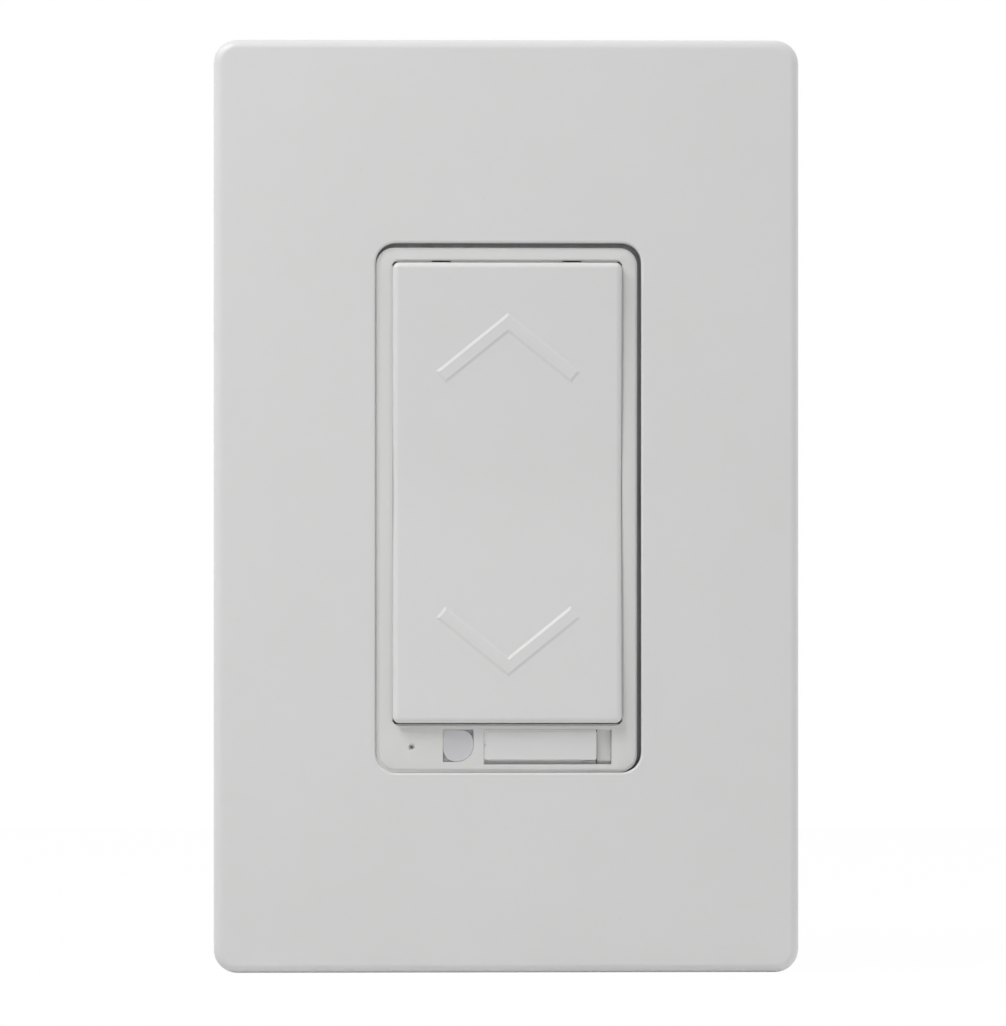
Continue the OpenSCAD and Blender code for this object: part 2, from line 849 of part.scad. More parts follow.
module mounting_screws() {
    color("Silver")
        at_box_screws() {
            translate([0, yoke_front_y, 0])
                slotted_head(head_r, head_h);
            rod_y(neck_r, yoke_front_y - slack, washer_t + washer_gap + slack);
            rod_y(thread_r, washer_t + washer_gap, yoke_front_y + box_screw_l);
        }
}

module mounting_washers() {
    color("BurlyWood")
        at_box_screws()
            difference() {
                rod_y(washer_r, 0, washer_t);
                rod_y(neck_r + fine_gap, -cut_over, washer_t + cut_over);
            }
}

module ground_screw() {
    color("ForestGreen")
        translate([ground_x, ground_y, -yoke_body_h / 2]) {
            rotate([90, 0, 0])
                slotted_head(head_r, head_h);
            translate([0, 0, -slack])
                cylinder(h = ground_screw_l, r = thread_r);
        }
}

// Rear housing and wire terminals

module rear_housing() {
    block_side = pocket_side + 2 * pocket_wall;
    block_x = pocket_floor_x - pocket_floor_t;
    block_y = pocket_front_y - pocket_wall;
    lug_slot_w = terminal_lug_w + 2 * terminal_lug_gap;
    color("DimGray")
        difference() {
            along_y(0, housing_depth)
                rounded_rect(housing_w, housing_h, housing_corner_r);
            difference() {
                along_y(-cut_over, housing_depth - housing_wall)
                    square([housing_inner_w, housing_inner_h], center = true);
                at_clamp_screws() {
                    rod_y(column_front_r, 0, housing_depth);
                    rod_y(column_mid_r, control_board_back_y, housing_depth);
                    rod_y(column_back_r, power_board_back_y, housing_depth);
                }
                at_terminals()
                    block(block_x, housing_w, block_y, block_y + block_side,
                        -block_side / 2, block_side / 2);
            }
            at_clamp_screws() {
                rod_y(clamp_hole_r, -cut_over, housing_depth + cut_over);
                rod_y(clamp_head_r + loose_gap, housing_depth - clamp_sink, housing_depth + cut_over);
            }
            at_terminals() {
                block(pocket_floor_x, housing_w, pocket_front_y, pocket_front_y + pocket_side,
                    -pocket_side / 2, pocket_side / 2);
                block(pocket_floor_x, pocket_floor_x + terminal_t + terminal_lug_gap, power_board_back_y,
                    pocket_front_y + cut_over, -lug_slot_w / 2, lug_slot_w / 2);
                translate([pocket_floor_x - pocket_floor_t + pocket_floor_skin, pocket_mid_y, 0])
                    rotate([0, 90, 0])
                        cylinder(h = pocket_floor_t, r = thread_r + loose_gap);
            }
        }
}

module housing_screws() {
    color("Silver")
        at_clamp_screws() {
            translate([0, housing_depth - clamp_sink, 0])
                rotate([180, 0, 0])
                    slotted_head(clamp_head_r, clamp_head_h);
            rod_y(clamp_screw_r, boss_hole_front_y + loose_gap, housing_depth - clamp_sink + slack);
        }
}

module terminal_plates() {
    color("Goldenrod")
        at_terminals()
            difference() {
                union() {
                    block(pocket_floor_x, pocket_floor_x + terminal_t, pocket_mid_y - terminal_side / 2,
                        pocket_mid_y + terminal_side / 2, -terminal_side / 2, terminal_side / 2);
                    block(pocket_floor_x, pocket_floor_x + terminal_t, power_board_y - terminal_lug_over,
                        pocket_mid_y, -terminal_lug_w / 2, terminal_lug_w / 2);
                }
                translate([pocket_floor_x - cut_over, pocket_mid_y, 0])
                    rotate([0, 90, 0])
                        cylinder(h = terminal_t + 2 * cut_over, r = thread_r + fine_gap);
            }
}

module terminal_screws() {
    under_x = pocket_floor_x + terminal_t + terminal_wire_gap;
    color("Goldenrod")
        at_terminals()
            translate([under_x, pocket_mid_y, 0]) {
                rotate([0, 0, 90])
                    slotted_head(terminal_head_r, terminal_head_h);
                translate([slack - terminal_screw_l, 0, 0])
                    rotate([0, 90, 0])
                        cylinder(h = terminal_screw_l, r = thread_r);
            }
}

// Circuit boards

module control_board() {
    color("DarkGreen")
        difference() {
            along_y(control_board_y, control_board_back_y)
                polygon([[-board_w / 2, -board_h / 2], [board_w / 2, -board_h / 2],
                    [board_w / 2, board_step_z], [board_step_x, board_step_z],
                    [board_step_x, board_h / 2], [-board_w / 2, board_h / 2]]);
            at_clamp_screws()
                rod_y(column_front_r + board_hole_gap, control_board_y - cut_over,
                    control_board_back_y + cut_over);
        }
}

module power_board() {
    color("DarkGreen")
        difference() {
            bar_y(board_w, board_h, power_board_y, power_board_back_y);
            at_clamp_screws()
                rod_y(column_mid_r + board_hole_gap, power_board_y - cut_over,
                    power_board_back_y + cut_over);
            at_terminals()
                block(pocket_floor_x - terminal_lug_gap, pocket_floor_x + terminal_t + terminal_lug_gap,
                    power_board_y - cut_over, power_board_back_y + cut_over,
                    -terminal_lug_w / 2 - terminal_lug_gap, terminal_lug_w / 2 + terminal_lug_gap);
        }
}

module board_header() {
    header_l = header_pitch * header_count;
    color("Black")
        translate([header_x, 0, header_z]) {
            bar_y(header_w, header_l, control_board_back_y, control_board_back_y + header_base_t);
            bar_y(header_w, header_l, power_board_y - header_base_t, power_board_y);
            for (i = [0:header_count - 1])
                translate([0, 0, header_pitch * (i + 0.5) - header_l / 2])
                    bar_y(header_pin_w, header_pin_w, control_board_back_y + header_base_t / 2,
                        power_board_y - header_base_t / 2);
        }
}

module controller_chip() {
    leg_pitch = (chip_side - 2 * chip_leg_margin) / chip_leg_count;
    color("Black")
        translate([chip_x, control_board_y, chip_z]) {
            bar_y(chip_side, chip_side, -chip_t - chip_stand, -chip_stand);
            for (turn = [0, 90, 180, 270], i = [0:chip_leg_count - 1])
                rotate([0, turn, 0])
                    translate([chip_side / 2, 0, leg_pitch * (i - (chip_leg_count - 1) / 2)])
                        block(-slack, chip_leg_l, -chip_leg_t, 0, -chip_leg_w / 2, chip_leg_w / 2);
        }
}

module status_led() {
    color("White")
        translate([lens_x, 0, strip_z])
            bar_y(led_w, led_h, control_board_y - led_t, control_board_y);
}

// Tap switches

module switch_body(side) {
    color("DarkSlateGray")
        at_tap_switch(side)
            difference() {
                bar_y(switch_side, switch_side, switch_front_y, control_board_y);
                rod_y(switch_bore_r, switch_front_y + switch_cap_t, control_board_y + cut_over);
                rod_y(plunger_r + guide_gap, switch_front_y - cut_over, control_board_y);
            }
}

module switch_plunger(side) {
    color("Ivory")
        at_tap_switch(side) {
            rod_y(plunger_r, plunger_front_y, collar_front_y + slack);
            rod_y(collar_r, collar_front_y, collar_back_y);
            rod_y(pin_r, collar_back_y - slack, pill_front_y);
        }
}

module contact_pill(side) {
    color("DarkSlateGray")
        at_tap_switch(side)
            rod_y(pill_r, pill_front_y, pill_back_y);
}

module switch_spring(side) {
    steps = 8 * spring_turns;
    from_y = collar_back_y + spring_wire_r + slack;
    to_y = control_board_y - spring_wire_r - slack;
    path = [for (i = [0:steps])
        [spring_r * cos(45 * i), from_y + (to_y - from_y) * i / steps, spring_r * sin(45 * i)]];
    up = [for (i = [0:steps]) [0, 1, 0]];
    color("Silver")
        at_tap_switch(side)
            wire(path, up, spring_wire_r);
}

module upper_switch_body() {
    switch_body(1);
}

module lower_switch_body() {
    switch_body(-1);
}

module upper_switch_plunger() {
    switch_plunger(1);
}

module lower_switch_plunger() {
    switch_plunger(-1);
}

module upper_contact_pill() {
    contact_pill(1);
}

module lower_contact_pill() {
    contact_pill(-1);
}

module upper_switch_spring() {
    switch_spring(1);
}

module lower_switch_spring() {
    switch_spring(-1);
}

// Reset switch

module reset_switch_body() {
    color("DarkSlateGray")
        translate([pinhole_x, 0, strip_z])
            difference() {
                bar_y(reset_side, reset_side, reset_front_y, control_board_y);
                rod_y(reset_collar_r + reset_bore_gap, reset_front_y + reset_cap_t,
                    control_board_y + cut_over);
                rod_y(reset_stem_r + guide_gap, reset_front_y - cut_over, control_board_y);
            }
}

module reset_switch_plunger() {
    color("Ivory")
        translate([pinhole_x, 0, strip_z]) {
            rod_y(reset_stem_r, reset_tip_y, reset_collar_front_y + slack);
            rod_y(reset_collar_r, reset_collar_front_y, reset_collar_front_y + reset_collar_t);
            rod_y(reset_pin_r, reset_collar_front_y, control_board_y - reset_travel - fine_gap);
        }
}

// Air-gap switch

module airgap_switch_body() {
    half_w = actuator_w / 2 + airgap_side_gap;
    body_h = airgap_cavity_h + 2 * airgap_wall;
    color("DarkSlateGray")
        translate([knob_mid, 0, strip_z])
            difference() {
                block(-half_w - airgap_wall, half_w + slide_travel + airgap_wall,
                    airgap_front_y, control_board_y, -body_h / 2, body_h / 2);
                block(-half_w, half_w + slide_travel, airgap_front_y + airgap_cap_t,
                    control_board_y + cut_over, -airgap_cavity_h / 2, airgap_cavity_h / 2);
                block(-stem_w / 2 - loose_gap, stem_w / 2 + slide_travel + loose_gap,
                    airgap_front_y - cut_over, control_board_y,
                    -stem_h / 2 - stem_gap, stem_h / 2 + stem_gap);
            }
}

module airgap_actuator() {
    color("DarkSlateGray")
        translate([knob_mid, 0, strip_z]) {
            bar_y(stem_w, stem_h, knob_back_y - socket_d, actuator_front_y + slack);
            bar_y(actuator_w, actuator_h, actuator_front_y, actuator_back_y);
        }
}

module airgap_bridge() {
    color("Goldenrod")
        translate([knob_mid, 0, strip_z]) {
            bar_y(bridge_w, bridge_h, actuator_back_y, actuator_back_y + bridge_t);
            for (sx = [-1, 1])
                translate([sx * bump_x, 0, 0])
                    bar_y(bump_w, bridge_h, actuator_back_y + bridge_t - slack, bump_back_y);
        }
}

module airgap_fixed_contacts() {
    color("Goldenrod")
        translate([knob_mid, 0, strip_z])
            for (sx = [-1, 1])
                translate([sx * bump_x, 0, 0])
                    bar_y(bump_w, bridge_h, bump_back_y + fine_gap, control_board_y);
}

// Power parts

module triac() {
    tab_y = pad_t;
    color("DimGray")
        translate([triac_x, 0, triac_z]) {
            block(-triac_w / 2, triac_w / 2, tab_y, tab_y + triac_body_t, 0, triac_body_l);
            difference() {
                block(-triac_w / 2, triac_w / 2, tab_y, tab_y + triac_tab_t,
                    triac_body_l - slack, triac_tab_l);
                translate([0, 0, triac_tab_l - triac_hole_inset])
                    rod_y(triac_screw_r + loose_gap, -cut_over, tab_y + triac_tab_t + cut_over);
            }
            for (i = [-1, 0, 1])
                translate([i * triac_lead_pitch, tab_y + triac_body_t / 2, 0]) {
                    block(-triac_lead_w / 2, triac_lead_w / 2, 0, triac_lead_t, -triac_lead_drop, slack);
                    block(-triac_lead_w / 2, triac_lead_w / 2, 0, power_board_y - tab_y - triac_body_t / 2,
                        -triac_lead_drop, triac_lead_t - triac_lead_drop);
                }
        }
}

module thermal_pad() {
    color("LightGray")
        translate([triac_x, 0, triac_z])
            difference() {
                block(-triac_w / 2 - pad_over, triac_w / 2 + pad_over, 0, pad_t,
                    -pad_over, triac_tab_l + pad_over);
                translate([0, 0, triac_tab_l - triac_hole_inset])
                    rod_y(triac_screw_r + loose_gap, -cut_over, pad_t + cut_over);
            }
}

module triac_screw() {
    head_y = pad_t + triac_tab_t;
    color("Silver")
        translate([triac_x, 0, triac_hole_z]) {
            translate([0, head_y, 0])
                rotate([180, 0, 0])
                    slotted_head(triac_head_r, triac_head_h);
            rod_y(triac_screw_r, yoke_front_y + slack, head_y + slack);
        }
}

module choke_core() {
    color("DarkOliveGreen")
        translate([0, choke_y, choke_z])
            rotate([90, 0, 0])
                rotate_extrude()
                    translate([choke_core_r, 0])
                        circle(choke_core_thick_r);
}

module choke_winding() {
    steps = 8 * choke_turns;
    around = [for (i = [0:steps]) choke_sweep * i / steps];
    path = [for (i = [0:steps])
        let (out = choke_core_r + choke_reach * cos(45 * i))
        [out * cos(around[i]), choke_reach * sin(45 * i), out * sin(around[i])]];
    up = [for (a = around) [-sin(a), 0, cos(a)]];
    color("DarkOrange")
        translate([0, choke_y, choke_z])
            wire(path, up, choke_wire_r);
}

module film_capacitor() {
    color("Firebrick")
        translate([0, 0, film_z])
            along_y(power_board_back_y, power_board_back_y + film_t)
                rounded_rect(film_w, film_h, film_corner_r);
}

module electrolytic_capacitor() {
    color("MidnightBlue")
        translate([0, power_board_back_y, can_z])
            difference() {
                rod_y(can_r, 0, can_l);
                difference() {
                    rod_y(can_r + cut_over, can_groove_y, can_groove_y + can_groove_w);
                    rod_y(can_groove_r, 0, can_l);
                }
            }
}

module varistor() {
    disc_y = power_board_back_y + varistor_stand + varistor_r;
    color("RoyalBlue")
        translate([0, 0, varistor_z]) {
            translate([0, disc_y, -varistor_t / 2])
                cylinder(h = varistor_t, r = varistor_r);
            for (sx = [-1, 1])
                translate([sx * lead_x, 0, 0])
                    rod_y(lead_r, power_board_back_y, disc_y);
        }
}

wallplate_cover();
wallplate_subplate();
subplate_screws();
front_frame();
light_pipe();
yoke();
mounting_screws();
mounting_washers();
ground_screw();
rear_housing();
housing_screws();
control_board();
power_board();
board_header();
controller_chip();
status_led();
upper_switch_body();
lower_switch_body();
upper_switch_spring();
lower_switch_spring();
reset_switch_body();
airgap_switch_body();
airgap_fixed_contacts();
triac();
thermal_pad();
triac_screw();
choke_core();
choke_winding();
film_capacitor();
electrolytic_capacitor();
varistor();
terminal_plates();
terminal_screws();
paddle();
upper_switch_plunger();
upper_contact_pill();
lower_switch_plunger();
lower_contact_pill();
airgap_knob();
airgap_actuator();
airgap_bridge();
reset_switch_plunger();
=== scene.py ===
import json
import math
import bmesh
import bpy
from mathutils import Matrix, Vector


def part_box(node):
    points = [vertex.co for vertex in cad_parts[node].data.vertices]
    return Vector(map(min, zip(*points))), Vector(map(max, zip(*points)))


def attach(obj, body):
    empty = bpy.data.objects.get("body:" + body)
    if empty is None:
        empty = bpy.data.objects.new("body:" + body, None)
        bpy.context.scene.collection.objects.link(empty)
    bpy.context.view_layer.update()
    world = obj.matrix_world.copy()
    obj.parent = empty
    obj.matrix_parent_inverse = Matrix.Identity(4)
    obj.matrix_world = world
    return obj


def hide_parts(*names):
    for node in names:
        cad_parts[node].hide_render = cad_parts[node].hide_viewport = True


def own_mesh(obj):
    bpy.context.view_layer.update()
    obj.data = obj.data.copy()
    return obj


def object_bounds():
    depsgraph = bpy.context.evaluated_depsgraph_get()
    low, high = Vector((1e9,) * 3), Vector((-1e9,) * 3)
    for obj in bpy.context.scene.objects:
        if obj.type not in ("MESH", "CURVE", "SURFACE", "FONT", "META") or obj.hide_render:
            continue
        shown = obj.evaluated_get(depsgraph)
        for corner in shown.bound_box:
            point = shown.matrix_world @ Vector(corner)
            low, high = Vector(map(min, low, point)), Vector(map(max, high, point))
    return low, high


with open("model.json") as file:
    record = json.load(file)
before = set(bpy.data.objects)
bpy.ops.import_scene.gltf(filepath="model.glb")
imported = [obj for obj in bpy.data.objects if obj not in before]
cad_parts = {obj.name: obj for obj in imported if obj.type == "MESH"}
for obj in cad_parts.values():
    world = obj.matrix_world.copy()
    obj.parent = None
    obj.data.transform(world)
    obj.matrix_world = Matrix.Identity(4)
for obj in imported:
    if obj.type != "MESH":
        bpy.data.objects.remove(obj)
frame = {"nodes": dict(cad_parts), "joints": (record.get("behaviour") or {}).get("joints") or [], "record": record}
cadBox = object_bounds()
scene = bpy.context.scene
mm = 0.001  # pieces are drawn in millimetres and scaled to metres when they are made
print("frame loaded:", len(frame["nodes"]), "nodes")


# Node trees: helpers find the tree through a node or a socket that they are given

def addNode(tree, kind, **settings):
    node = tree.nodes.new(kind)
    for key, value in settings.items():
        setattr(node, key, value)
    return node


def plug(socket, source):
    # source is a socket to link or a plain value
    if isinstance(source, bpy.types.NodeSocket):
        socket.id_data.links.new(source, socket)
    else:
        socket.default_value = source


def feed(node, **sources):
    # names are the inputs' labels without spaces
    for label, source in sources.items():
        plug(next(s for s in node.inputs if s.enabled and s.name.replace(" ", "") == label), source)
    return node


def feedInOrder(node, *sources):
    for socket, source in zip(node.inputs, sources):
        plug(socket, source)
    return node.outputs[0]


def fedNode(tree, kind, **sources):
    # the first output of a new node
    return feed(addNode(tree, kind), **sources).outputs[0]


def mathNode(operation, first, *others):
    node = addNode(first.id_data, "ShaderNodeMath", operation=operation)
    return feedInOrder(node, first, *others)


def rangeNode(value, *limits):
    # limits are its lowest and highest, and what these two become
    return feedInOrder(addNode(value.id_data, "ShaderNodeMapRange"), value, *limits)


def noiseNode(vector, scale, detail, roughness):
    return fedNode(vector.id_data, "ShaderNodeTexNoise", Vector=vector, Scale=scale,
                   Detail=detail, Roughness=roughness)


def newGroup(name, kind, takes, gives):
    # takes and gives pair each label with the kind of its socket
    group = bpy.data.node_groups.new(name, kind)
    for way, sockets in (("INPUT", takes), ("OUTPUT", gives)):
        for label, holds in sockets.items():
            group.interface.new_socket(label, in_out=way, socket_type="NodeSocket" + holds)
    return group, addNode(group, "NodeGroupInput").outputs, addNode(group, "NodeGroupOutput")


# Shared surface effects

grain = {
    "coarser": 0.02,  # scale of the mottle beside that of the grain
    "fine": (3.0, 0.6),  # detail and roughness of each noise
    "coarse": (2.0, 0.5),
}
marks = {
    "broad": (5.0, 0.65),
    "smudge": (0.45, 0.75),  # where smudges begin and are full
    "finer": 9.0,  # scale of the specks beside that of the smudges
    "speck": (0.05, 0.09),  # their inner and outer radius
}
brushing = {
    "stretch": (1.0, 1.0, 0.03),
    "streak": (4.0, 0.7),
    "cloudScale": 90.0,
    "cloud": (4.0, 0.6),
}


def surfaceGroup(name, *gives):
    return newGroup(name, "ShaderNodeTree", {"Vector": "Vector", "Scale": "Float"},
                    dict.fromkeys(gives, "Float"))


def makeMouldedGrain(v):
    group, take, outputs = surfaceGroup("mouldedGrain", "Grain", "Mottle")
    place, scale = take[:2]
    coarser = mathNode("MULTIPLY", scale, v["coarser"])
    feed(outputs, Grain=noiseNode(place, scale, *v["fine"]),
         Mottle=noiseNode(place, coarser, *v["coarse"]))
    return group


def makeHandlingMarks(v):
    # Smudge is broad and soft, Speck is a scatter of small spots
    group, take, outputs = surfaceGroup("handlingMarks", "Smudge", "Speck")
    place, scale = take[:2]
    broad = noiseNode(place, scale, *v["broad"])
    finer = mathNode("MULTIPLY", scale, v["finer"])
    spots = fedNode(group, "ShaderNodeTexVoronoi", Vector=place, Scale=finer)
    feed(outputs, Smudge=rangeNode(broad, *v["smudge"], 0.0, 1.0),
         Speck=rangeNode(spots, *v["speck"], 1.0, 0.0))
    return group


def makeBrushedStreaks(v):
    group, take, outputs = surfaceGroup("brushedStreaks", "Streak", "Cloud")
    place, scale = take[:2]
    drawn = fedNode(group, "ShaderNodeMapping", Vector=place, Scale=v["stretch"])
    feed(outputs, Streak=noiseNode(drawn, scale, *v["streak"]),
         Cloud=noiseNode(place, v["cloudScale"], *v["cloud"]))
    return group


mouldedGrain = makeMouldedGrain(grain)
handlingMarks = makeHandlingMarks(marks)
brushedStreaks = makeBrushedStreaks(brushing)


# Finishes: tone is the plain colour, shade the deeper one that mottle, marks and streaks lean to

noiseSpan = (0.3, 0.7)  # most of a noise lies between these


def srgb(tone):
    # 8-bit tones as linear ones, with full alpha
    shares = [level / 255 for level in tone]
    return (*(s / 12.92 if s <= 0.04045 else ((s + 0.055) / 1.055) ** 2.4 for s in shares), 1.0)


def startMaterial(name):
    material = bpy.data.materials.new(name)
    material.use_nodes = True
    tree = material.node_tree
    place = addNode(tree, "ShaderNodeTexCoord").outputs["Object"]
    return material, tree.nodes["Principled BSDF"], place


def placeGroup(group, place, scale):
    node = addNode(place.id_data, "ShaderNodeGroup", node_tree=group)
    return feed(node, Vector=place, Scale=scale).outputs


def colourFrom(share, tone, shade):
    node = addNode(share.id_data, "ShaderNodeMix", data_type="RGBA")
    return feed(node, Factor=share, A=srgb(tone), B=srgb(shade)).outputs[2]


def bumpFrom(height, strength, distance):
    return fedNode(height.id_data, "ShaderNodeBump", Height=height, Strength=strength,
                   Distance=distance)


plasticLook = {
    "mottle": 0.5,  # how far the mottle leads to the deeper colour
    "specks": 0.5,
    "marksScale": 60.0,
    "wear": 0.1,  # roughness that smudges add
    "grainDepth": 0.00004,
}
metalLook = {
    "smudges": 0.25,
    "marksScale": 80.0,
    "streakWear": 0.2,  # roughness from streak to streak
    "streakDepth": 0.00003,
    "streakBump": 0.12,
}
laminateLook = {
    "tone": (22, 78, 48),
    "shade": (44, 108, 66),
    "weave": {"Scale": 700.0, "Distortion": 1.5, "Detail": 1.0},
    "weaveShare": (0.5, 0.1),  # in the colour, and what is there without it
    "mottleScale": 2500.0,
    "rough": (0.3, 0.42),
    "bump": (0.15, 0.00005),  # strength and depth
}
wireLook = {
    "tone": (196, 104, 52),
    "shade": (150, 66, 32),
    "streakScale": 500.0,
    "rough": (0.2, 0.4),
    "coat": 0.6,
}
lensLook = {
    "tone": (207, 206, 209),
    "shade": (192, 191, 195),
    "grainScale": 3000.0,
    "rough": (0.16, 0.24),
    "bump": (0.03, 0.00003),
    "milk": 0.2,
    "milkDepth": (0.001, 0.001, 0.0012),
}


def plastic(name, tone, shade, rough, grainScale=4000.0, bump=0.1, coat=0.0):
    v = plasticLook
    material, shader, place = startMaterial(name)
    texture = placeGroup(mouldedGrain, place, grainScale)
    spots = placeGroup(handlingMarks, place, v["marksScale"])
    share = mathNode("MULTIPLY", texture["Mottle"], v["mottle"])
    share = mathNode("MULTIPLY_ADD", spots["Speck"], v["specks"], share)
    feed(shader, BaseColor=colourFrom(share, tone, shade),
         Roughness=mathNode("MULTIPLY_ADD", spots["Smudge"], v["wear"], rough),
         Normal=bumpFrom(texture["Grain"], bump, v["grainDepth"]), CoatWeight=coat)
    return material


def metal(name, tone, shade, rough, streakScale=900.0):
    v = metalLook
    material, shader, place = startMaterial(name)
    streak, cloud = placeGroup(brushedStreaks, place, streakScale)
    spots = placeGroup(handlingMarks, place, v["marksScale"])
    share = mathNode("MULTIPLY", cloud, streak)
    share = mathNode("MULTIPLY_ADD", spots["Smudge"], v["smudges"], share)
    wear = v["streakWear"]
    feed(shader, BaseColor=colourFrom(share, tone, shade),
         Roughness=mathNode("MULTIPLY_ADD", streak, wear, rough - wear / 2),
         Normal=bumpFrom(streak, v["streakBump"], v["streakDepth"]), Metallic=1.0)
    return material


def laminate(name, v):
    # glass weave showing faintly through the solder mask
    material, shader, place = startMaterial(name)
    threads = []
    for direction in ("X", "Z"):
        wave = addNode(place.id_data, "ShaderNodeTexWave", bands_direction=direction)
        threads.append(feed(wave, Vector=place, **v["weave"]).outputs["Fac"])
    weave = mathNode("MULTIPLY", *threads)
    mottle = placeGroup(mouldedGrain, place, v["mottleScale"])["Mottle"]
    share = mathNode("MULTIPLY_ADD", weave, *v["weaveShare"])
    feed(shader, BaseColor=colourFrom(share, v["tone"], v["shade"]),
         Roughness=rangeNode(mottle, *noiseSpan, *v["rough"]),
         Normal=bumpFrom(weave, *v["bump"]))
    return material


def enamelledWire(name, v):
    # its colour deepens in clouds
    material, shader, place = startMaterial(name)
    streak, cloud = placeGroup(brushedStreaks, place, v["streakScale"])
    feed(shader, BaseColor=colourFrom(cloud, v["tone"], v["shade"]),
         Roughness=rangeNode(streak, 0.0, 1.0, *v["rough"]),
         Metallic=1.0, CoatWeight=v["coat"])
    return material


def milkyPlastic(name, v):
    # the light pipe's, faintly clouded
    material, shader, place = startMaterial(name)
    fine, mottle = placeGroup(mouldedGrain, place, v["grainScale"])
    feed(shader, BaseColor=colourFrom(mottle, v["tone"], v["shade"]),
         Roughness=rangeNode(fine, *noiseSpan, *v["rough"]),
         Normal=bumpFrom(fine, *v["bump"]),
         SubsurfaceWeight=v["milk"], SubsurfaceRadius=v["milkDepth"])
    return material


finishes = {
    "white_plastic": plastic("whitePlastic", (216, 216, 216), (210, 210, 209), 0.34, bump=0.06),
    "white_screw": plastic("whiteEnamel", (222, 222, 220), (206, 205, 202), 0.28, coat=0.3),
    "lens_plastic": milkyPlastic("milkyLens", lensLook),
    "strap_metal": metal("brushedStrap", (196, 198, 200), (150, 152, 156), 0.36),
    "screw_steel": metal("zincSteel", (200, 201, 203), (140, 142, 147), 0.3, 1800.0),
    "green_screw": plastic("greenZinc", (30, 112, 62), (18, 78, 42), 0.3, 2500.0, coat=0.4),
    "brass": metal("brassPlate", (206, 170, 96), (158, 118, 54), 0.3, 1400.0),
    "spring_steel": metal("springSteel", (186, 188, 192), (128, 130, 136), 0.28, 1600.0),
    "housing_plastic": plastic("darkHousing", (52, 53, 56), (38, 39, 42), 0.52, 1500.0, 0.3),
    "black_plastic": plastic("blackPlastic", (34, 34, 36), (22, 22, 24), 0.48, 2000.0, 0.25),
    "ivory_plastic": plastic("ivoryPlastic", (214, 206, 186), (192, 182, 158), 0.45, 2500.0, 0.15),
    "fibre": plastic("fibreWasher", (168, 128, 92), (128, 90, 60), 0.8, 2600.0, 0.5),
    "contact_rubber": plastic("contactRubber", (40, 40, 42), (24, 24, 26), 0.75, 2600.0, 0.3),
    "pad_rubber": plastic("padRubber", (150, 158, 168), (118, 126, 138), 0.8, 2200.0, 0.3),
    "led_plastic": plastic("diodeResin", (232, 232, 222), (206, 204, 190), 0.22, 2200.0, 0.05),
    "ferrite": plastic("ferriteCore", (70, 70, 72), (44, 44, 47), 0.66, 1800.0, 0.4),
    "film_case": plastic("filmCase", (176, 60, 44), (140, 42, 32), 0.36, 2000.0, 0.12),
    "can_sleeve": plastic("canSleeve", (34, 44, 84), (22, 28, 60), 0.3, 2000.0, 0.08),
    "varistor_coat": plastic("varistorCoat", (32, 84, 140), (20, 58, 104), 0.35, 900.0, 0.3),
    "board_laminate": laminate("boardLaminate", laminateLook),
    "copper_wire": enamelledWire("enamelWire", wireLook),
    # the frame's own, a shade darker
    "frame_white": plastic("frameWhite", (214, 214, 213), (209, 209, 208), 0.34, bump=0.06),
}
slotOf = {part["node"]: part["material_slot"] for part in frame["record"]["subparts"]}
print("finishes made:", len(finishes))


# Mesh tools: sides are left, right, bottom and top
# an outline is (width, length, corner radius, (middle x, middle z))

cornerSteps = 8  # facets of a rounded corner
leastCorner = 0.01
lipSteps = 4  # and of an opening's lip
clear = 1.0  # how far cutters reach past what they cut
bite = 0.1  # how far joined forms run into each other
flatArea = 0.5  # square faces above this many square millimetres are shaded flat


def corners(node):
    low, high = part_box(node)
    return low / mm, high / mm


def around(middle, width):
    return middle - width / 2, middle + width / 2


def inset(sides, across, up):
    left, right, bottom, top = sides
    return left + across, right - across, bottom + up, top - up


def outline(sides, radius):
    # radius is one number, or four in the order upper right, upper left, lower left, lower right
    left, right, bottom, top = sides
    return right - left, top - bottom, radius, ((left + right) / 2, (bottom + top) / 2)


def offset(shape, by):
    width, length, radius, middle = shape
    bend = tuple(r + by for r in radius) if isinstance(radius, tuple) else radius + by
    return width + 2 * by, length + 2 * by, bend, middle


def loopPoints(shape):
    width, length, radius, (midX, midZ) = shape
    points = []
    for turn, (sideX, sideZ) in enumerate(((1, 1), (-1, 1), (-1, -1), (1, -1))):
        bend = max(radius[turn] if isinstance(radius, tuple) else radius, leastCorner)
        turnX, turnZ = sideX * (width / 2 - bend), sideZ * (length / 2 - bend)
        for step in range(cornerSteps + 1):
            angle = math.pi / 2 * (turn + step / cornerSteps)
            points.append((midX + (turnX + bend * math.cos(angle)),
                           midZ + (turnZ + bend * math.sin(angle))))
    return points


def skinLoops(bm, loops, joined=False):
    if not joined:
        bm.faces.new(loops[0])
        bm.faces.new(loops[-1])
    for near, far in zip(loops, loops[1:] + loops[:1] if joined else loops[1:]):
        count = len(near)
        for i in range(count):
            j = (i + 1) % count
            bm.faces.new((near[i], near[j], far[j], far[i]))


def ringShell(bm, rings, joined=False):
    # each ring pairs a place in Y with an outline
    loops = [[bm.verts.new((x, y, z)) for x, z in loopPoints(shape)] for y, shape in rings]
    skinLoops(bm, loops, joined)


def frontFillet(shape, back, front, edge, steps=6):
    # rings from a flat back round the front edge to the face
    rings = [(back, shape)]
    for step in range(steps + 1):
        angle = math.pi / 2 * step / steps
        face = offset(shape, -edge * (1 - math.cos(angle)))
        rings.append((front + edge * (1 - math.sin(angle)), face))
    return rings


def lipCurve(front, lip):
    # how far outside the opening its lip lies, and where in Y, from the face inwards
    angles = [math.pi / 2 * step / lipSteps for step in range(lipSteps + 1)]
    return [(lip * (1 - math.sin(a)), front + lip * (1 - math.cos(a))) for a in angles]


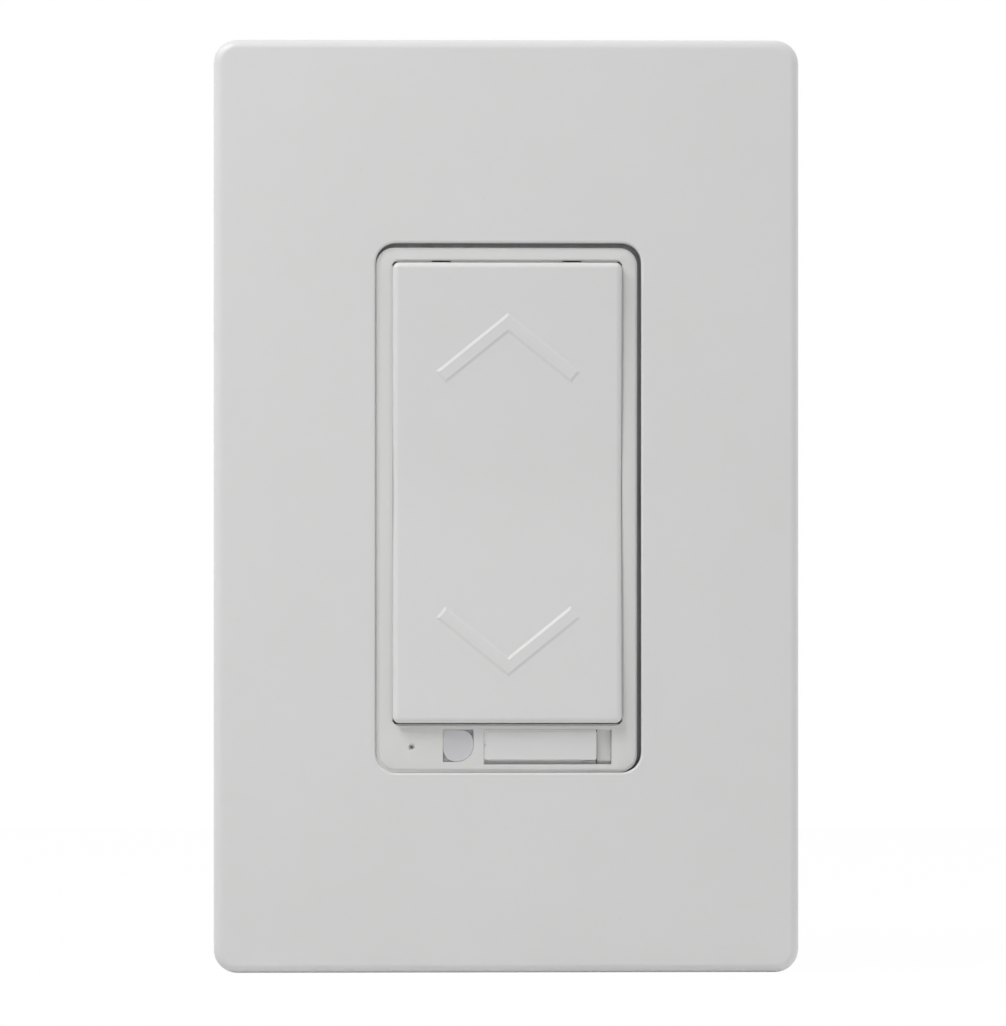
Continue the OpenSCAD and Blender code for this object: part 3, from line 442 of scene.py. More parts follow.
def lipFillet(shape, front, lip):
    return [(y, offset(shape, away)) for away, y in lipCurve(front, lip)]


def flaredHole(bm, shape, front, back, lip):
    # a cutter whose mouth is rounded where it meets the face
    mouth = (front - clear, offset(shape, lip))
    ringShell(bm, [mouth, *lipFillet(shape, front, lip), (back, shape)])


def alongY(x, z):
    # lays a lathe's own line along Y, its heights as places in Y
    return Matrix.Translation((x, 0, z)) @ Matrix.Rotation(-math.pi / 2, 4, "X")


def addBlock(bm, one, other):
    # between two opposite corners
    low, high = (Vector([pick(pair) for pair in zip(one, other)]) for pick in (min, max))
    place = Matrix.Translation((high + low) / 2) @ Matrix.Diagonal((*(high - low), 1.0))
    bmesh.ops.create_cube(bm, size=1.0, matrix=place)


def addLathe(bm, profile, turn=Matrix.Identity(4), segments=32, joined=False):
    # profile is (radius, height) pairs about local Z, ending in flat faces or joined to a ring
    angles = [2 * math.pi * i / segments for i in range(segments)]
    loops = []
    for radius, height in profile:
        places = [(radius * math.cos(a), radius * math.sin(a), height) for a in angles]
        loops.append([bm.verts.new(turn @ Vector(p)) for p in places])
    skinLoops(bm, loops, joined)


def linked(name, data):
    item = bpy.data.objects.new(name, data)
    scene.collection.objects.link(item)
    return item


def meshPiece(name, bm, finish=None):
    mesh = bpy.data.meshes.new(name)
    bm.to_mesh(mesh)
    bm.free()
    if finish:
        mesh.materials.append(finishes[finish])
    return linked(name, mesh)


def newPiece(name, bm, finish=None):
    bmesh.ops.recalc_face_normals(bm, faces=bm.faces)
    bm.transform(Matrix.Scale(mm, 4))
    return meshPiece(name, bm, finish)


def applied(piece):
    bpy.context.view_layer.update()
    evaluated = piece.evaluated_get(bpy.context.evaluated_depsgraph_get())
    mesh = bpy.data.meshes.new_from_object(evaluated)
    piece.modifiers.clear()
    piece.data = mesh
    return piece


def cutBy(piece, bm, operation="DIFFERENCE"):
    cutter = newPiece("cutter", bm)
    tool = piece.modifiers.new("cut", "BOOLEAN")
    tool.operation = operation
    tool.solver = "EXACT"
    tool.object = cutter
    applied(piece)
    bpy.data.objects.remove(cutter)


def softEdges(piece, width):
    bevel = piece.modifiers.new("edge", "BEVEL")
    bevel.width = width * mm
    bevel.segments = 2
    bevel.limit_method = "ANGLE"
    bevel.angle_limit = math.radians(35)
    bevel.miter_outer = "MITER_ARC"
    return applied(piece)


def smoothed(piece, degrees=40, flat=False):
    piece.data.shade_smooth()
    piece.data.set_sharp_from_angle(angle=math.radians(degrees))
    if flat:
        for face in piece.data.polygons:
            square = max(abs(c) for c in face.normal) > 0.9999
            face.use_smooth = not (square and face.area > flatArea * mm * mm)
    weighted = piece.modifiers.new("weighted", "WEIGHTED_NORMAL")
    weighted.keep_sharp = True
    return applied(piece)


def nodeCopy(node, name):
    # a copy of a node's mesh, its triangles merged into whole flat faces
    bm = bmesh.new()
    bm.from_mesh(frame["nodes"][node].data)
    bmesh.ops.remove_doubles(bm, verts=bm.verts, dist=1e-6)
    bmesh.ops.dissolve_limit(bm, angle_limit=math.radians(0.5), verts=bm.verts, edges=bm.edges)
    return meshPiece(name, bm, slotOf[node])


def joinInto(piece, bm):
    extra = newPiece("extra", bm)
    whole = bmesh.new()
    whole.from_mesh(piece.data)
    whole.from_mesh(extra.data)
    whole.to_mesh(piece.data)
    whole.free()
    bpy.data.objects.remove(extra)


def settle(piece, body, node):
    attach(piece, body)
    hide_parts(node)


def dressCopy(node, name, width):
    settle(smoothed(softEdges(nodeCopy(node, name), width), flat=True), "device", node)


# Wall plate

plateCover = {
    "edge": 1.2,  # rounding of the front edge
    "corner": 3.0,
    "lip": 0.35,  # rounding of the opening's lip
    "faceThick": 2.0,
    "skirt": 1.6,
    "opening": (-16.7, 17.2, -33.8, 33.78),
    "openCorner": 2.55,
    "hook": (22.0, 8.0),  # place and width
    "hookReach": 1.5,
    "hookRoot": 0.5,  # how far a hook runs into the skirt
    "hookDepth": (-1.4, -0.3),
}
subplate = {"edge": 0.15}


def makePlateCover(v):
    low, high = corners("wallplate_cover")
    outer = outline((low.x, high.x, low.z, high.z), v["corner"])
    cavity = offset(outer, -v["skirt"])
    opening = outline(v["opening"], v["openCorner"])
    inner = low.y + v["faceThick"]
    bm = bmesh.new()
    rings = frontFillet(outer, high.y, low.y, v["edge"], steps=8)
    rings += lipFillet(opening, low.y, v["lip"])
    rings += [(inner, opening), (inner, cavity), (high.y, cavity)]
    ringShell(bm, rings, joined=True)
    hookX, hookWidth = v["hook"]
    front, back = v["hookDepth"]
    _, length, _, (midX, midZ) = cavity
    for sideX in (-1, 1):
        for sideZ in (-1, 1):
            left, right = around(midX + sideX * hookX, hookWidth)
            addBlock(bm, (left, front, midZ + sideZ * (length / 2 + v["hookRoot"])),
                     (right, back, midZ + sideZ * (length / 2 - v["hookReach"])))
    settle(smoothed(newPiece("plateCover", bm, "white_plastic")), "device", "wallplate_cover")


makePlateCover(plateCover)
dressCopy("wallplate_subplate", "subplate", subplate["edge"])
print("wall plate made")


# Front frame and paddle

hinge = next(joint for joint in frame["joints"] if joint["name"] == "paddle_rock")
pivot = Vector(hinge["pos_m"]) / mm

frontFrame = {
    "edge": 0.5,  # rounding of the outer front edge
    "corner": 2.3,
    "crown": (0.16, 1.35),  # fall of the rim to its edge, except along the strip, and its width
    "reachRight": 0.2,  # the rim reaches this much further right than its solid
    "reachDown": 0.4,  # and this much lower
    "rimSide": 1.85,
    "rimTop": 1.6,
    "strip": 5.85,  # from the window's lower edge to the bottom
    "windowCorner": 0.95,
    "lip": 0.12,  # rounding of the window and of the cuts in the strip
    "floor": -3.0,
    "stripBack": -5.8,
    "notch": (8.35, 2.4),  # place and width
    "notchDepth": 0.05,
    "bearing": 1.25,
    "plungerHole": 1.85,
    "boss": (2.5, 1.15, -5.48),  # outer radius, bore and front
    "rib": 0.55,  # between the window and the cuts in the strip
    "slot": (-2.86, 13.4, 4.45),  # the knob's: left, right and height
    "slotCorner": 0.05,
    "pocket": (-8.11, -4.21, 4.13),  # the lens's
    "pocketCorner": (0.15, 0.15, 0.15, 2.1),
    "pocketLip": 0.05,
    "pinholeX": -12.1,
    "pinhole": 0.4,
    "funnel": {"drop": 0.3, "hole": 0.13, "wall": 0.05, "slope": 0.25, "length": 1.0},
    "apron": {  # a lower outline that fills the gap to the plate
        "left": 0.18,  # how far it reaches out there
        "down": 0.18,
        "drop": 0.17,  # at its left
        "fall": 0.2,  # by which its right lies lower still
        "thick": 0.7,
        "hold": 0.7,  # how far it runs in under the rim
        "edge": 0.08,
    },
    "ledges": {
        "left": (0.02, 0.03),  # gap to the paddle, and drop
        "right": (0.03, 0.12),
        "top": (0.1, 0.2),
        "bottom": (0.14, 0.3),
        "notchGap": 0.24,
        "thick": 0.8,
        "thin": 0.25,  # at the top and in the corners
        "sideShort": 0.6,  # by which the side ledges end before the window's ends
        "endShort": 0.2,  # and the others before its sides
        "sideRoot": 0.4,  # how far the side ledges run into the rim
        "endRoot": 0.3,  # and the others
    },
    # at the right end of the knob's slot, the trough below the shelf
    "shelf": {"drop": 0.8, "rise": 0.45, "gap": 0.05, "root": 0.2},
    "trough": (1.2, 0.3),  # drop and thickness
}
lever = 20.0  # the tap switches lie this far above and below the pivot
clampPoints = [(x, z) for x in (-10.0, 10.0) for z in (-22.45, 26.55)]  # the housing's screws


def acrossX(side):
    # lays a lathe's own line along the paddle's axis
    return Matrix.Translation((0, pivot.y, pivot.z)) @ Matrix.Rotation(side * math.pi / 2, 4, "Y")


def rimSides():
    low, high = corners("front_frame")
    return low.x, high.x + frontFrame["reachRight"], low.z - frontFrame["reachDown"], high.z


def windowSides():
    v = frontFrame
    left, right, bottom, top = rimSides()
    return left + v["rimSide"], right - v["rimSide"], bottom + v["strip"], top - v["rimTop"]


def cutSides(cut):
    left, right, height = frontFrame[cut]
    top = windowSides()[2] - frontFrame["rib"]
    return left, right, top - height, top


def paddleSides():
    return inset(windowSides(), paddle["sideGap"], paddle["endGap"])


def makeFrontFrame(v):
    near, far = corners("front_frame")
    front, back, lip, floor = near.y, far.y, v["lip"], v["floor"]
    rim = outline(rimSides(), v["corner"])
    left, right, bottom, top = window = windowSides()
    slot = cutSides("slot")
    stripZ = (slot[2] + slot[3]) / 2
    fall, reach = v["crown"]
    bm = bmesh.new()
    rings = frontFillet(rim, back, front + fall, v["edge"])[:-1]
    ringShell(bm, rings + [(front, offset(rim, -reach))])
    for vert in bm.verts:
        if front < vert.co.y < back - clear:
            share = (bottom - vert.co.z) / (v["strip"] - reach)
            vert.co.y -= fall * min(max(share, 0.0), 1.0)
    piece = newPiece("frontFrame", bm, "frame_white")

    wide = bmesh.new()
    flaredHole(wide, outline(window, v["windowCorner"]), front, floor, lip)
    addBlock(wide, (left, v["stripBack"], slot[2]), (right, back + clear, slot[3]))
    cutBy(piece, wide)
    narrow = bmesh.new()
    through = v["stripBack"] + bite
    flaredHole(narrow, outline(slot, v["slotCorner"]), front, through, lip)
    pocket = outline(cutSides("pocket"), v["pocketCorner"])
    flaredHole(narrow, pocket, front, through, v["pocketLip"])
    mouth = [(lip, front - clear), *lipCurve(front, lip), (0.0, through)]
    addLathe(narrow, [(v["pinhole"] + away, y) for away, y in mouth], alongY(v["pinholeX"], stripZ))
    cutBy(piece, narrow)
    bores = bmesh.new()
    notchX, notchWidth = v["notch"]
    for side in (-1, 1):
        start, end = around(side * notchX, notchWidth)
        addBlock(bores, (start, front - clear, top - clear / 2),
                 (end, floor, top + v["notchDepth"]))
        addLathe(bores, [(v["plungerHole"], y) for y in (floor - clear / 2, back + clear / 2)],
                 alongY(0.0, pivot.z + side * lever))
    addLathe(bores, [(v["bearing"], -rim[0]), (v["bearing"], rim[0])], acrossX(1))
    cutBy(piece, bores)
    extra = bmesh.new()
    addApron(extra, v["apron"], front, rim)
    addLedges(extra, v["ledges"], front)
    addStripForms(extra, v, front, slot, stripZ)
    outer, bore, bossFront = v["boss"]
    bossBack = floor + bite
    for x, z in clampPoints:
        profile = [(bore, bossFront), (outer, bossFront), (outer, bossBack), (bore, bossBack)]
        addLathe(extra, profile, alongY(x, z), joined=True)
    joinInto(piece, extra)
    settle(smoothed(piece), "device", "front_frame")


def addApron(bm, v, front, rim):
    left, right, bottom, top = rimSides()
    face = front + v["drop"]
    back = face + v["thick"]
    reach = outline((left - v["left"], right, bottom - v["down"], top), rim[2])
    inner = offset(rim, -v["hold"])
    rings = [(back, inner), *frontFillet(reach, back, face, v["edge"], steps=3), (face, inner)]
    ringShell(bm, rings, joined=True)
    width, _, _, (midX, _) = rim
    for vert in bm.verts:
        vert.co.y += v["fall"] * ((vert.co.x - midX) / width + 0.5)


def addLedges(bm, v, front):
    left, right, bottom, top = windowSides()
    paddleLeft, paddleRight, paddleBottom, paddleTop = paddleSides()
    thick, thin, root, short = v["thick"], v["thin"], v["endRoot"], v["sideShort"]
    for side, inside, wall in (("left", paddleLeft, left), ("right", paddleRight, right)):
        gap, drop = v[side]
        away = math.copysign(1, wall - inside)
        addBlock(bm, (inside + away * gap, front + drop, bottom + short),
                 (wall + away * v["sideRoot"], front + drop + thick, top - short))
    first, last = left + v["endShort"], right - v["endShort"]
    gap, drop = v["bottom"]
    addBlock(bm, (first, front + drop, bottom - root),
             (last, front + drop + thick, paddleBottom - gap))
    gap, drop = v["top"]
    near, far = around(*frontFrame["notch"])
    stops = (first, -far, -near, near, far, last)
    gaps = (gap, v["notchGap"], gap, v["notchGap"], gap)
    for start, end, space in zip(stops, stops[1:], gaps):
        addBlock(bm, (start, front + drop, paddleTop + space),
                 (end, front + drop + thin, top + root))
    # fill the pits at the paddle's rounded corners
    turn = paddle["corner"] * (1 - math.sqrt(0.5)) - gap
    for side, wall in ((paddleLeft + turn, left - root), (paddleRight - turn, right + root)):
        for end, rim in ((paddleBottom + turn, bottom - root), (paddleTop - turn, top + root)):
            addBlock(bm, (side, front + drop, end), (wall, front + drop + thin, rim))


def addStripForms(bm, v, front, slot, stripZ):
    # shelf and trough at the end of the knob's slot, and the pinhole's funnel
    shelf = v["shelf"]
    start, stop = corners("airgap_knob")[1].x + shelf["gap"], slot[1]
    rise, root = slot[2] + shelf["rise"], shelf["root"]
    drop, thick = v["trough"]
    back = front + drop + thick
    addBlock(bm, (start, front + shelf["drop"], rise), (stop - shelf["gap"], back, slot[3] + root))
    addBlock(bm, (start, front + drop, slot[2] - root), (stop + root, back, rise + bite))
    funnel = v["funnel"]
    hole, outer = funnel["hole"], v["pinhole"] + funnel["wall"]
    mouth = front + funnel["drop"]
    end = mouth + funnel["length"]
    addLathe(bm, [(hole, mouth + funnel["slope"]), (outer, mouth), (outer, end), (hole, end)],
             alongY(v["pinholeX"], stripZ), joined=True)


paddle = {
    "sideGap": 0.15,
    "endGap": 0.3,
    "edge": 0.75,
    "corner": 0.8,
    "dip": 1.0,  # how far the middle lies below the ends
    "blend": 3.0,  # half length over which the two slopes meet
    "skirt": 1.2,
    "front": -8.7,  # at the ends
    "skirtBack": -4.47,
    "faceThick": 0.8,
    "rows": 64,
    "trunnion": 1.2,
    "trunnionRoot": 0.4,  # from the skirt's inside
    "lug": (2.8, -3.35),  # half height and back
    "pad": (2.5, -6.0),  # radius and back
    "padHeight": 1.0,
    "tipEdge": 0.15,  # of trunnions and pads
    "hook": (8.35, 1.9),  # place and width
    "hookReach": 0.15,
    "hookLength": 1.1,
    "chevron": {
        "width": 18.3,
        "bar": 1.85,
        "slope": 0.6,  # width of the bar's slanting sides
        "angle": 39.0,
        "raise": 0.15,
        "inset": 6.12,
        "shift": (0.2, -0.37),  # of both, across and up
    },
}


def chevronLoop(half, shorter, v):
    # the chevron's outline about its point, its arms running down
    angle, bar = math.radians(v["angle"]), v["bar"] / 2
    sin, cos = math.sin(angle), math.cos(angle)
    arm = (v["width"] / 2 - bar * sin) / cos - shorter
    across = Vector((sin, cos))
    start = Vector((0.0, -bar / cos))
    end = start + Vector((cos, -sin)) * arm
    peak = Vector((0.0, half / cos))
    right = [start + peak, end + across * half, end - across * half, start - peak]
    left = [Vector((-p.x, p.y)) for p in (right[2], right[1])]
    return right + left


def faceY(z, half, v):
    # the dished face: two straight slopes that meet in a bend at the pivot
    reach = math.sqrt(half ** 2 + v["blend"] ** 2) - v["blend"]
    rise = math.sqrt((z - pivot.z) ** 2 + v["blend"] ** 2) - v["blend"]
    return v["front"] + v["dip"] * (1 - rise / reach)


def addChevrons(bm, half, v):
    chevron = v["chevron"]
    bar, slope = chevron["bar"] / 2, chevron["slope"] / 2
    tip = half - chevron["inset"]
    shiftX, shiftZ = chevron["shift"]
    for side in (-1, 1):
        loops = []
        for halfBar, shorter, raised in ((bar + slope, -slope, -bite),
                                         (bar - slope, slope, chevron["raise"])):
            places = [(shiftX + p.x, pivot.z + shiftZ + side * (tip + p.y))
                      for p in chevronLoop(halfBar, shorter, chevron)]
            loops.append([bm.verts.new((x, faceY(z, half, v) - raised, z)) for x, z in places])
        skinLoops(bm, loops)


def makePaddle(v):
    left, right, bottom, top = sides = paddleSides()
    skirt, skirtBack, tip = v["skirt"], v["skirtBack"], v["tipEdge"]
    half = top - pivot.z
    bm = bmesh.new()
    face = outline(sides, v["corner"])
    ringShell(bm, frontFillet(face, skirtBack, v["front"], v["edge"], steps=10))
    for row in range(1, v["rows"]):
        level = (0, 0, bottom + (top - bottom) * row / v["rows"])
        bmesh.ops.bisect_plane(bm, geom=bm.verts[:] + bm.edges[:] + bm.faces[:], dist=1e-5,
                               plane_co=level, plane_no=(0, 0, 1))
    for vert in bm.verts:
        if vert.co.y < skirtBack - clear:
            vert.co.y += faceY(vert.co.z, half, v) - v["front"]
    piece = newPiece("rockerPaddle", bm, "white_plastic")
    hollow = bmesh.new()
    addBlock(hollow, (left + skirt, v["front"] + v["dip"] + v["faceThick"], bottom + skirt),
             (right - skirt, 0.0, top - skirt))
    cutBy(piece, hollow)
    extra = bmesh.new()
    addChevrons(extra, half, v)
    reach = corners("paddle")[1].x
    axle, start = v["trunnion"], right - skirt + v["trunnionRoot"]
    lugHalf, lugBack = v["lug"]
    radius, padBack = v["pad"]
    hookX, hookWidth = v["hook"]
    for side, wall in ((-1, left), (1, right - skirt)):
        addLathe(extra, [(axle, start), (axle, reach - tip), (axle - tip, reach)], acrossX(side))
        addBlock(extra, (wall, skirtBack - bite, pivot.z - lugHalf),
                 (wall + skirt, lugBack, pivot.z + lugHalf))
        addLathe(extra, [(radius, padBack - v["padHeight"]), (radius, padBack - tip),
                         (radius - tip, padBack)], alongY(0.0, pivot.z + side * lever))
        hookLeft, hookRight = around(side * hookX, hookWidth)
        addBlock(extra, (hookLeft, skirtBack - v["hookLength"], top - skirt),
                 (hookRight, skirtBack, top + v["hookReach"]))
    joinInto(piece, extra)
    settle(smoothed(piece, degrees=13), "paddle", "paddle")


makeFrontFrame(frontFrame)
makePaddle(paddle)
print("front frame and paddle made")


# Strip controls

lens = {
    "gap": 0.02,
    "corner": (1.6, 0.15, 1.7, 2.1),
    "front": -7.28,
    "edge": 0.05,
    "dish": 0.15,  # how far the middle lies below the edge
    "dishSteps": 5,
    "bedDrop": 0.5,  # the bed that shows in the pocket's corners
    "flange": (-5.8, -5.3),
    "pipeRadius": 1.1,
    "pipeRoot": 0.2,
    "pipeEdge": (0.15, 0.2),  # across and along
}


def makeLens(v):
    low, high = corners("light_pipe")
    sides = inset(cutSides("pocket"), v["gap"], v["gap"])
    flangeFront, flangeBack = v["flange"]
    face = outline(sides, v["corner"])
    rings = frontFillet(face, flangeFront, v["front"], v["edge"], steps=4)
    y, (width, length, bend, middle) = rings[-1]
    for step in range(1, v["dishSteps"] + 1):
        keep = 1 - step / (v["dishSteps"] + 1)
        shape = (width * keep, length * keep, tuple(r * keep for r in bend), middle)
        rings.append((y + v["dish"] * (1 - keep ** 2), shape))
    bm = bmesh.new()
    ringShell(bm, rings)
    bed = outline(sides, frontFrame["pocketCorner"])
    ringShell(bm, [(flangeFront, bed), (v["front"] + v["bedDrop"], bed)])
    addBlock(bm, (low.x, flangeFront, low.z), (high.x, flangeBack, high.z))
    radius = v["pipeRadius"]
    across, along = v["pipeEdge"]
    addLathe(bm, [(radius, flangeBack - v["pipeRoot"]), (radius, high.y - along),
                  (radius - across, high.y)], alongY(*middle), segments=24)
    settle(smoothed(newPiece("statusLens", bm, "lens_plastic")), "device", "light_pipe")


makeLens(lens)

knob = {
    "edge": 0.25,
    "corner": 0.35,
    "topGap": 0.1,
    "lowGap": 0.5,
    "lipThick": 0.7,  # the right end slides over the shelf in the slot
    "lipLength": 1.7,
    "shoulderDrop": 0.05,  # step that fills the slot above and to the left
    "lowerDrop": 0.9,  # step that fills it below
    "bladeThick": 0.2,  # of that step where it passes over the trough
    "shoulderGap": 0.015,
    "stemInset": 0.05,
    "backStep": 0.1,  # by which the filling steps end before the knob
    "leftFill": 1.0,
}


def makeKnob(v):
    low, high = corners("airgap_knob")
    slotLeft, _, slotBottom, slotTop = cutSides("slot")
    bottom, top = slotBottom + v["lowGap"], slotTop - v["topGap"]
    middleZ = (bottom + top) / 2
    lipBack = low.y + v["lipThick"]
    stemRight = high.x - v["lipLength"]
    step, gap, stem = v["backStep"], v["shoulderGap"], v["stemInset"]
    fillLeft, fillRight = slotLeft + gap, high.x - step
    fillBottom, fillTop = slotBottom + gap, slotTop - gap
    shoulder, lower = low.y + v["shoulderDrop"], low.y + v["lowerDrop"]
    bladeTop = slotBottom + frontFrame["shelf"]["rise"] - gap
    bm = bmesh.new()
    face = outline((low.x, high.x, bottom, top), v["corner"])
    ringShell(bm, frontFillet(face, lipBack, low.y, v["edge"], steps=5))
    addBlock(bm, (low.x + stem, lipBack - stem, bottom + stem), (stemRight, high.y, top - stem))
    addBlock(bm, (fillLeft, shoulder, middleZ), (fillRight, lipBack, fillTop))
    addBlock(bm, (fillLeft, shoulder, bottom + bite),
             (low.x + v["leftFill"], lipBack, middleZ + bite))
    addBlock(bm, (fillLeft, lower, fillBottom), (stemRight, high.y - step, fillTop))
    addBlock(bm, (stemRight - bite, lower, fillBottom),
             (fillRight, lower + v["bladeThick"], bladeTop))
    settle(smoothed(newPiece("airgapKnob", bm, "white_plastic")), "airgap_slider", "airgap_knob")


makeKnob(knob)
print("strip controls made")


# Strap and housing

softEdgeWidths = {
    "yoke": ("strap", 0.15),
    "terminal_plates": ("terminalPlates", 0.1),
    "mounting_washers": ("mountingWashers", 0.08),
}
rearHousing = {
    "edge": 0.5,  # rounding of the back edge
    "corner": 2.5,
    "trim": 0.01,  # taken off all round, so that the sides are cut anew
    "panel": (-15.5, 15.5, -16.8, 20.9),  # a shallow bare recess between the screws
    "panelCorner": 1.5,
    "panelDrop": 0.35,
    "panelLip": 0.15,
}


def makeRearHousing(v):
    low, high = corners("rear_housing")
    back = v["trim"] - high.y
    sides = inset((low.x, high.x, low.z, high.z), v["trim"], v["trim"])
    piece = nodeCopy("rear_housing", "rearHousing")
    outside, recess = bmesh.new(), bmesh.new()
    ringShell(outside, frontFillet(outline(sides, v["corner"]), clear - low.y, back, v["edge"]))
    panel = outline(v["panel"], v["panelCorner"])
    flaredHole(recess, panel, back, back + v["panelDrop"], v["panelLip"])
    # both are drawn facing forwards and mirrored to the back
    for bm, operation in ((outside, "INTERSECT"), (recess, "DIFFERENCE")):
        bmesh.ops.scale(bm, verts=bm.verts, vec=(1, -1, 1))
        cutBy(piece, bm, operation)
    settle(smoothed(piece, flat=True), "device", "rear_housing")


for node, (name, width) in softEdgeWidths.items():
    dressCopy(node, name, width)
makeRearHousing(rearHousing)
print("strap and housing made")


# Screws and springs: a tree makes the shape once and sets it at each point, along its aim

def shapeTree(name, **takes):
    takes = {"Geometry": "Geometry", **takes, "Finish": "Material"}
    return newGroup(name, "GeometryNodeTree", takes, {"Geometry": "Geometry"})


def coiled(tree, radius, height, turns, steps, wire, sides):
    # a wire of this many sides, wound round local Z in this many steps a turn
    line = fedNode(tree, "GeometryNodeCurveSpiral", Resolution=steps, Rotations=turns,
                   StartRadius=radius, EndRadius=radius, Height=height)
    ring = fedNode(tree, "GeometryNodeCurvePrimitiveCircle", Resolution=sides, Radius=wire)
    return fedNode(tree, "GeometryNodeCurveToMesh", Curve=line, ProfileCurve=ring, FillCaps=True)


def moved(shape, along):
    tree = shape.id_data
    shift = fedNode(tree, "ShaderNodeCombineXYZ", Z=along)
    return fedNode(tree, "GeometryNodeTransform", Geometry=shape, Translation=shift)


def setAtPoints(tree, take, shape, outputs, chance=None):
    unit = fedNode(tree, "GeometryNodeGeometryToInstance", Geometry=shape)
    aim = addNode(tree, "GeometryNodeInputNamedAttribute", data_type="FLOAT_VECTOR")
    feed(aim, Name="aim")
    align = addNode(tree, "FunctionNodeAlignRotationToVector", axis="Z")
    feed(align, Vector=aim.outputs["Attribute"])
    placed = fedNode(tree, "GeometryNodeInstanceOnPoints", Points=take["Geometry"],
                     Instance=unit, Rotation=align.outputs[0])
    if chance:
        placed = fedNode(tree, "GeometryNodeRotateInstances", Instances=placed, Rotation=chance)
    real = fedNode(tree, "GeometryNodeRealizeInstances", Geometry=placed)
    dressed = fedNode(tree, "GeometryNodeSetMaterial", Geometry=real, Material=take["Finish"])
    feed(outputs, Geometry=dressed)


def grownFrom(piece, tree, **values):
    modifier = piece.modifiers.new(tree.name, "NODES")
    modifier.node_group = tree
    for item in tree.interface.items_tree:
        if item.in_out == "INPUT" and item.name in values:
            modifier[item.identifier] = values[item.name]
    return applied(piece)


def pointSet(name, places, aims):
    mesh = bpy.data.meshes.new(name)
    mesh.from_pydata([Vector(p) * mm for p in places], [], [])
    aim = mesh.attributes.new("aim", "FLOAT_VECTOR", "POINT")
    for item, direction in zip(aim.data, aims):
        item.vector = direction
    return linked(name, mesh)


screwForm = {
    "threadDepth": 0.45,  # share of the pitch
    "threadSteps": 20,  # in a turn
    "threadSides": 4,
    "shankSides": 24,
    "dome": 0.4,  # shares of the head's height
    "slotDepth": 0.55,
    "domeSteps": 8,
    "foot": (0.1, 0.12),  # chamfer across and along
    "slotHalf": 0.5,
    "slotReach": 1.2,  # of a single slot, in radii
    "crossReach": 0.62,  # and of a cross
    "edge": 0.08,
}
machineScrew = {"head": (3.4, 1.8), "radius": 1.75, "pitch": 0.79}
single, cross = (0.0,), (0.0, math.pi / 2)  # driver slots
screwSets = {
    "mounting_screws": {
        **machineScrew, "slots": single, "length": 25.4, "neck": 2.0,
        "places": [(0.0, -1.5, z) for z in (-41.67, 41.67)], "aim": (0, 1, 0),
    },
    "subplate_screws": {
        **machineScrew, "slots": single, "length": 2.9, "neck": 0.3,
        "places": [(0.0, -3.0, z) for z in (-48.42, 48.42)], "aim": (0, 1, 0),
    },
    "housing_screws": {
        "head": (2.1, 1.5), "radius": 1.1, "pitch": 0.6,
        "slots": cross, "length": 35.0, "neck": 25.0,
        "places": [(x, 31.2, z) for x, z in clampPoints], "aim": (0, -1, 0),
    },
    "terminal_screws": {
        **machineScrew, "slots": cross, "length": 4.2, "neck": 0.3,
        "places": [(x, 24.0, z) for x in (-19.8, 19.8) for z in (-12.0, 12.0)], "aim": "inwards",
    },
    "ground_screw": {
        **machineScrew, "slots": single, "length": 2.1, "neck": 0.2,
        "places": [(16.0, 5.0, -37.0)], "aim": (0, 0, 1),
    },
}


def makeScrewTree(v):
    tree, take, outputs = shapeTree("screwSet", Head="Object", Radius="Float", Length="Float",
                                    Neck="Float", Pitch="Float", Seed="Int")
    length, neck, pitch = take["Length"], take["Neck"], take["Pitch"]
    depth = mathNode("MULTIPLY", pitch, v["threadDepth"])
    root = mathNode("SUBTRACT", take["Radius"], depth)
    cut = mathNode("SUBTRACT", length, neck)
    turns = mathNode("DIVIDE", cut, pitch)
    ridge = coiled(tree, root, cut, turns, v["threadSteps"], depth, v["threadSides"])
    core = fedNode(tree, "GeometryNodeMeshCylinder", Vertices=v["shankSides"], Radius=root,
                   Depth=length)
    thread = moved(ridge, neck)
    shank = moved(core, mathNode("MULTIPLY", length, 0.5))
    head = feed(addNode(tree, "GeometryNodeObjectInfo"), Object=take["Head"])
    whole = addNode(tree, "GeometryNodeJoinGeometry")
    for part in (thread, shank, head.outputs["Geometry"]):
        feed(whole, Geometry=part)
    chance = addNode(tree, "FunctionNodeRandomValue", data_type="FLOAT_VECTOR")
    feed(chance, Min=(0, 0, 0), Max=(0, 0, 2 * math.pi), Seed=take["Seed"])
    setAtPoints(tree, take, whole.outputs[0], outputs, chance.outputs[0])
    return tree


def makeHead(radius, height, slots, v):
    # head above local zero towards -Z, with a driver slot for each angle in slots
    dome = height * v["dome"]
    ball = (radius ** 2 + dome ** 2) / (2 * dome)
    across, along = v["foot"]
    profile = [(radius - across, 0.0), (radius, -along), (radius, dome - height)]
    sweep = math.asin(radius / ball)
    for step in range(1, v["domeSteps"]):
        angle = sweep * (1 - step / v["domeSteps"])
        profile.append((ball * math.sin(angle), ball * (1 - math.cos(angle)) - height))
    bm = bmesh.new()
    addLathe(bm, profile, segments=48)
    head = newPiece("screwHead", bm)
    reach = radius * (v["slotReach"] if len(slots) == 1 else v["crossReach"])
    half, floor = v["slotHalf"], v["slotDepth"] * height - height
    for angle in slots:
        cutter = bmesh.new()
        addBlock(cutter, (-reach, -half, -height - clear), (reach, half, floor))
        bmesh.ops.rotate(cutter, verts=cutter.verts, matrix=Matrix.Rotation(angle, 3, "Z"))
        cutBy(head, cutter)
    return softEdges(head, v["edge"])


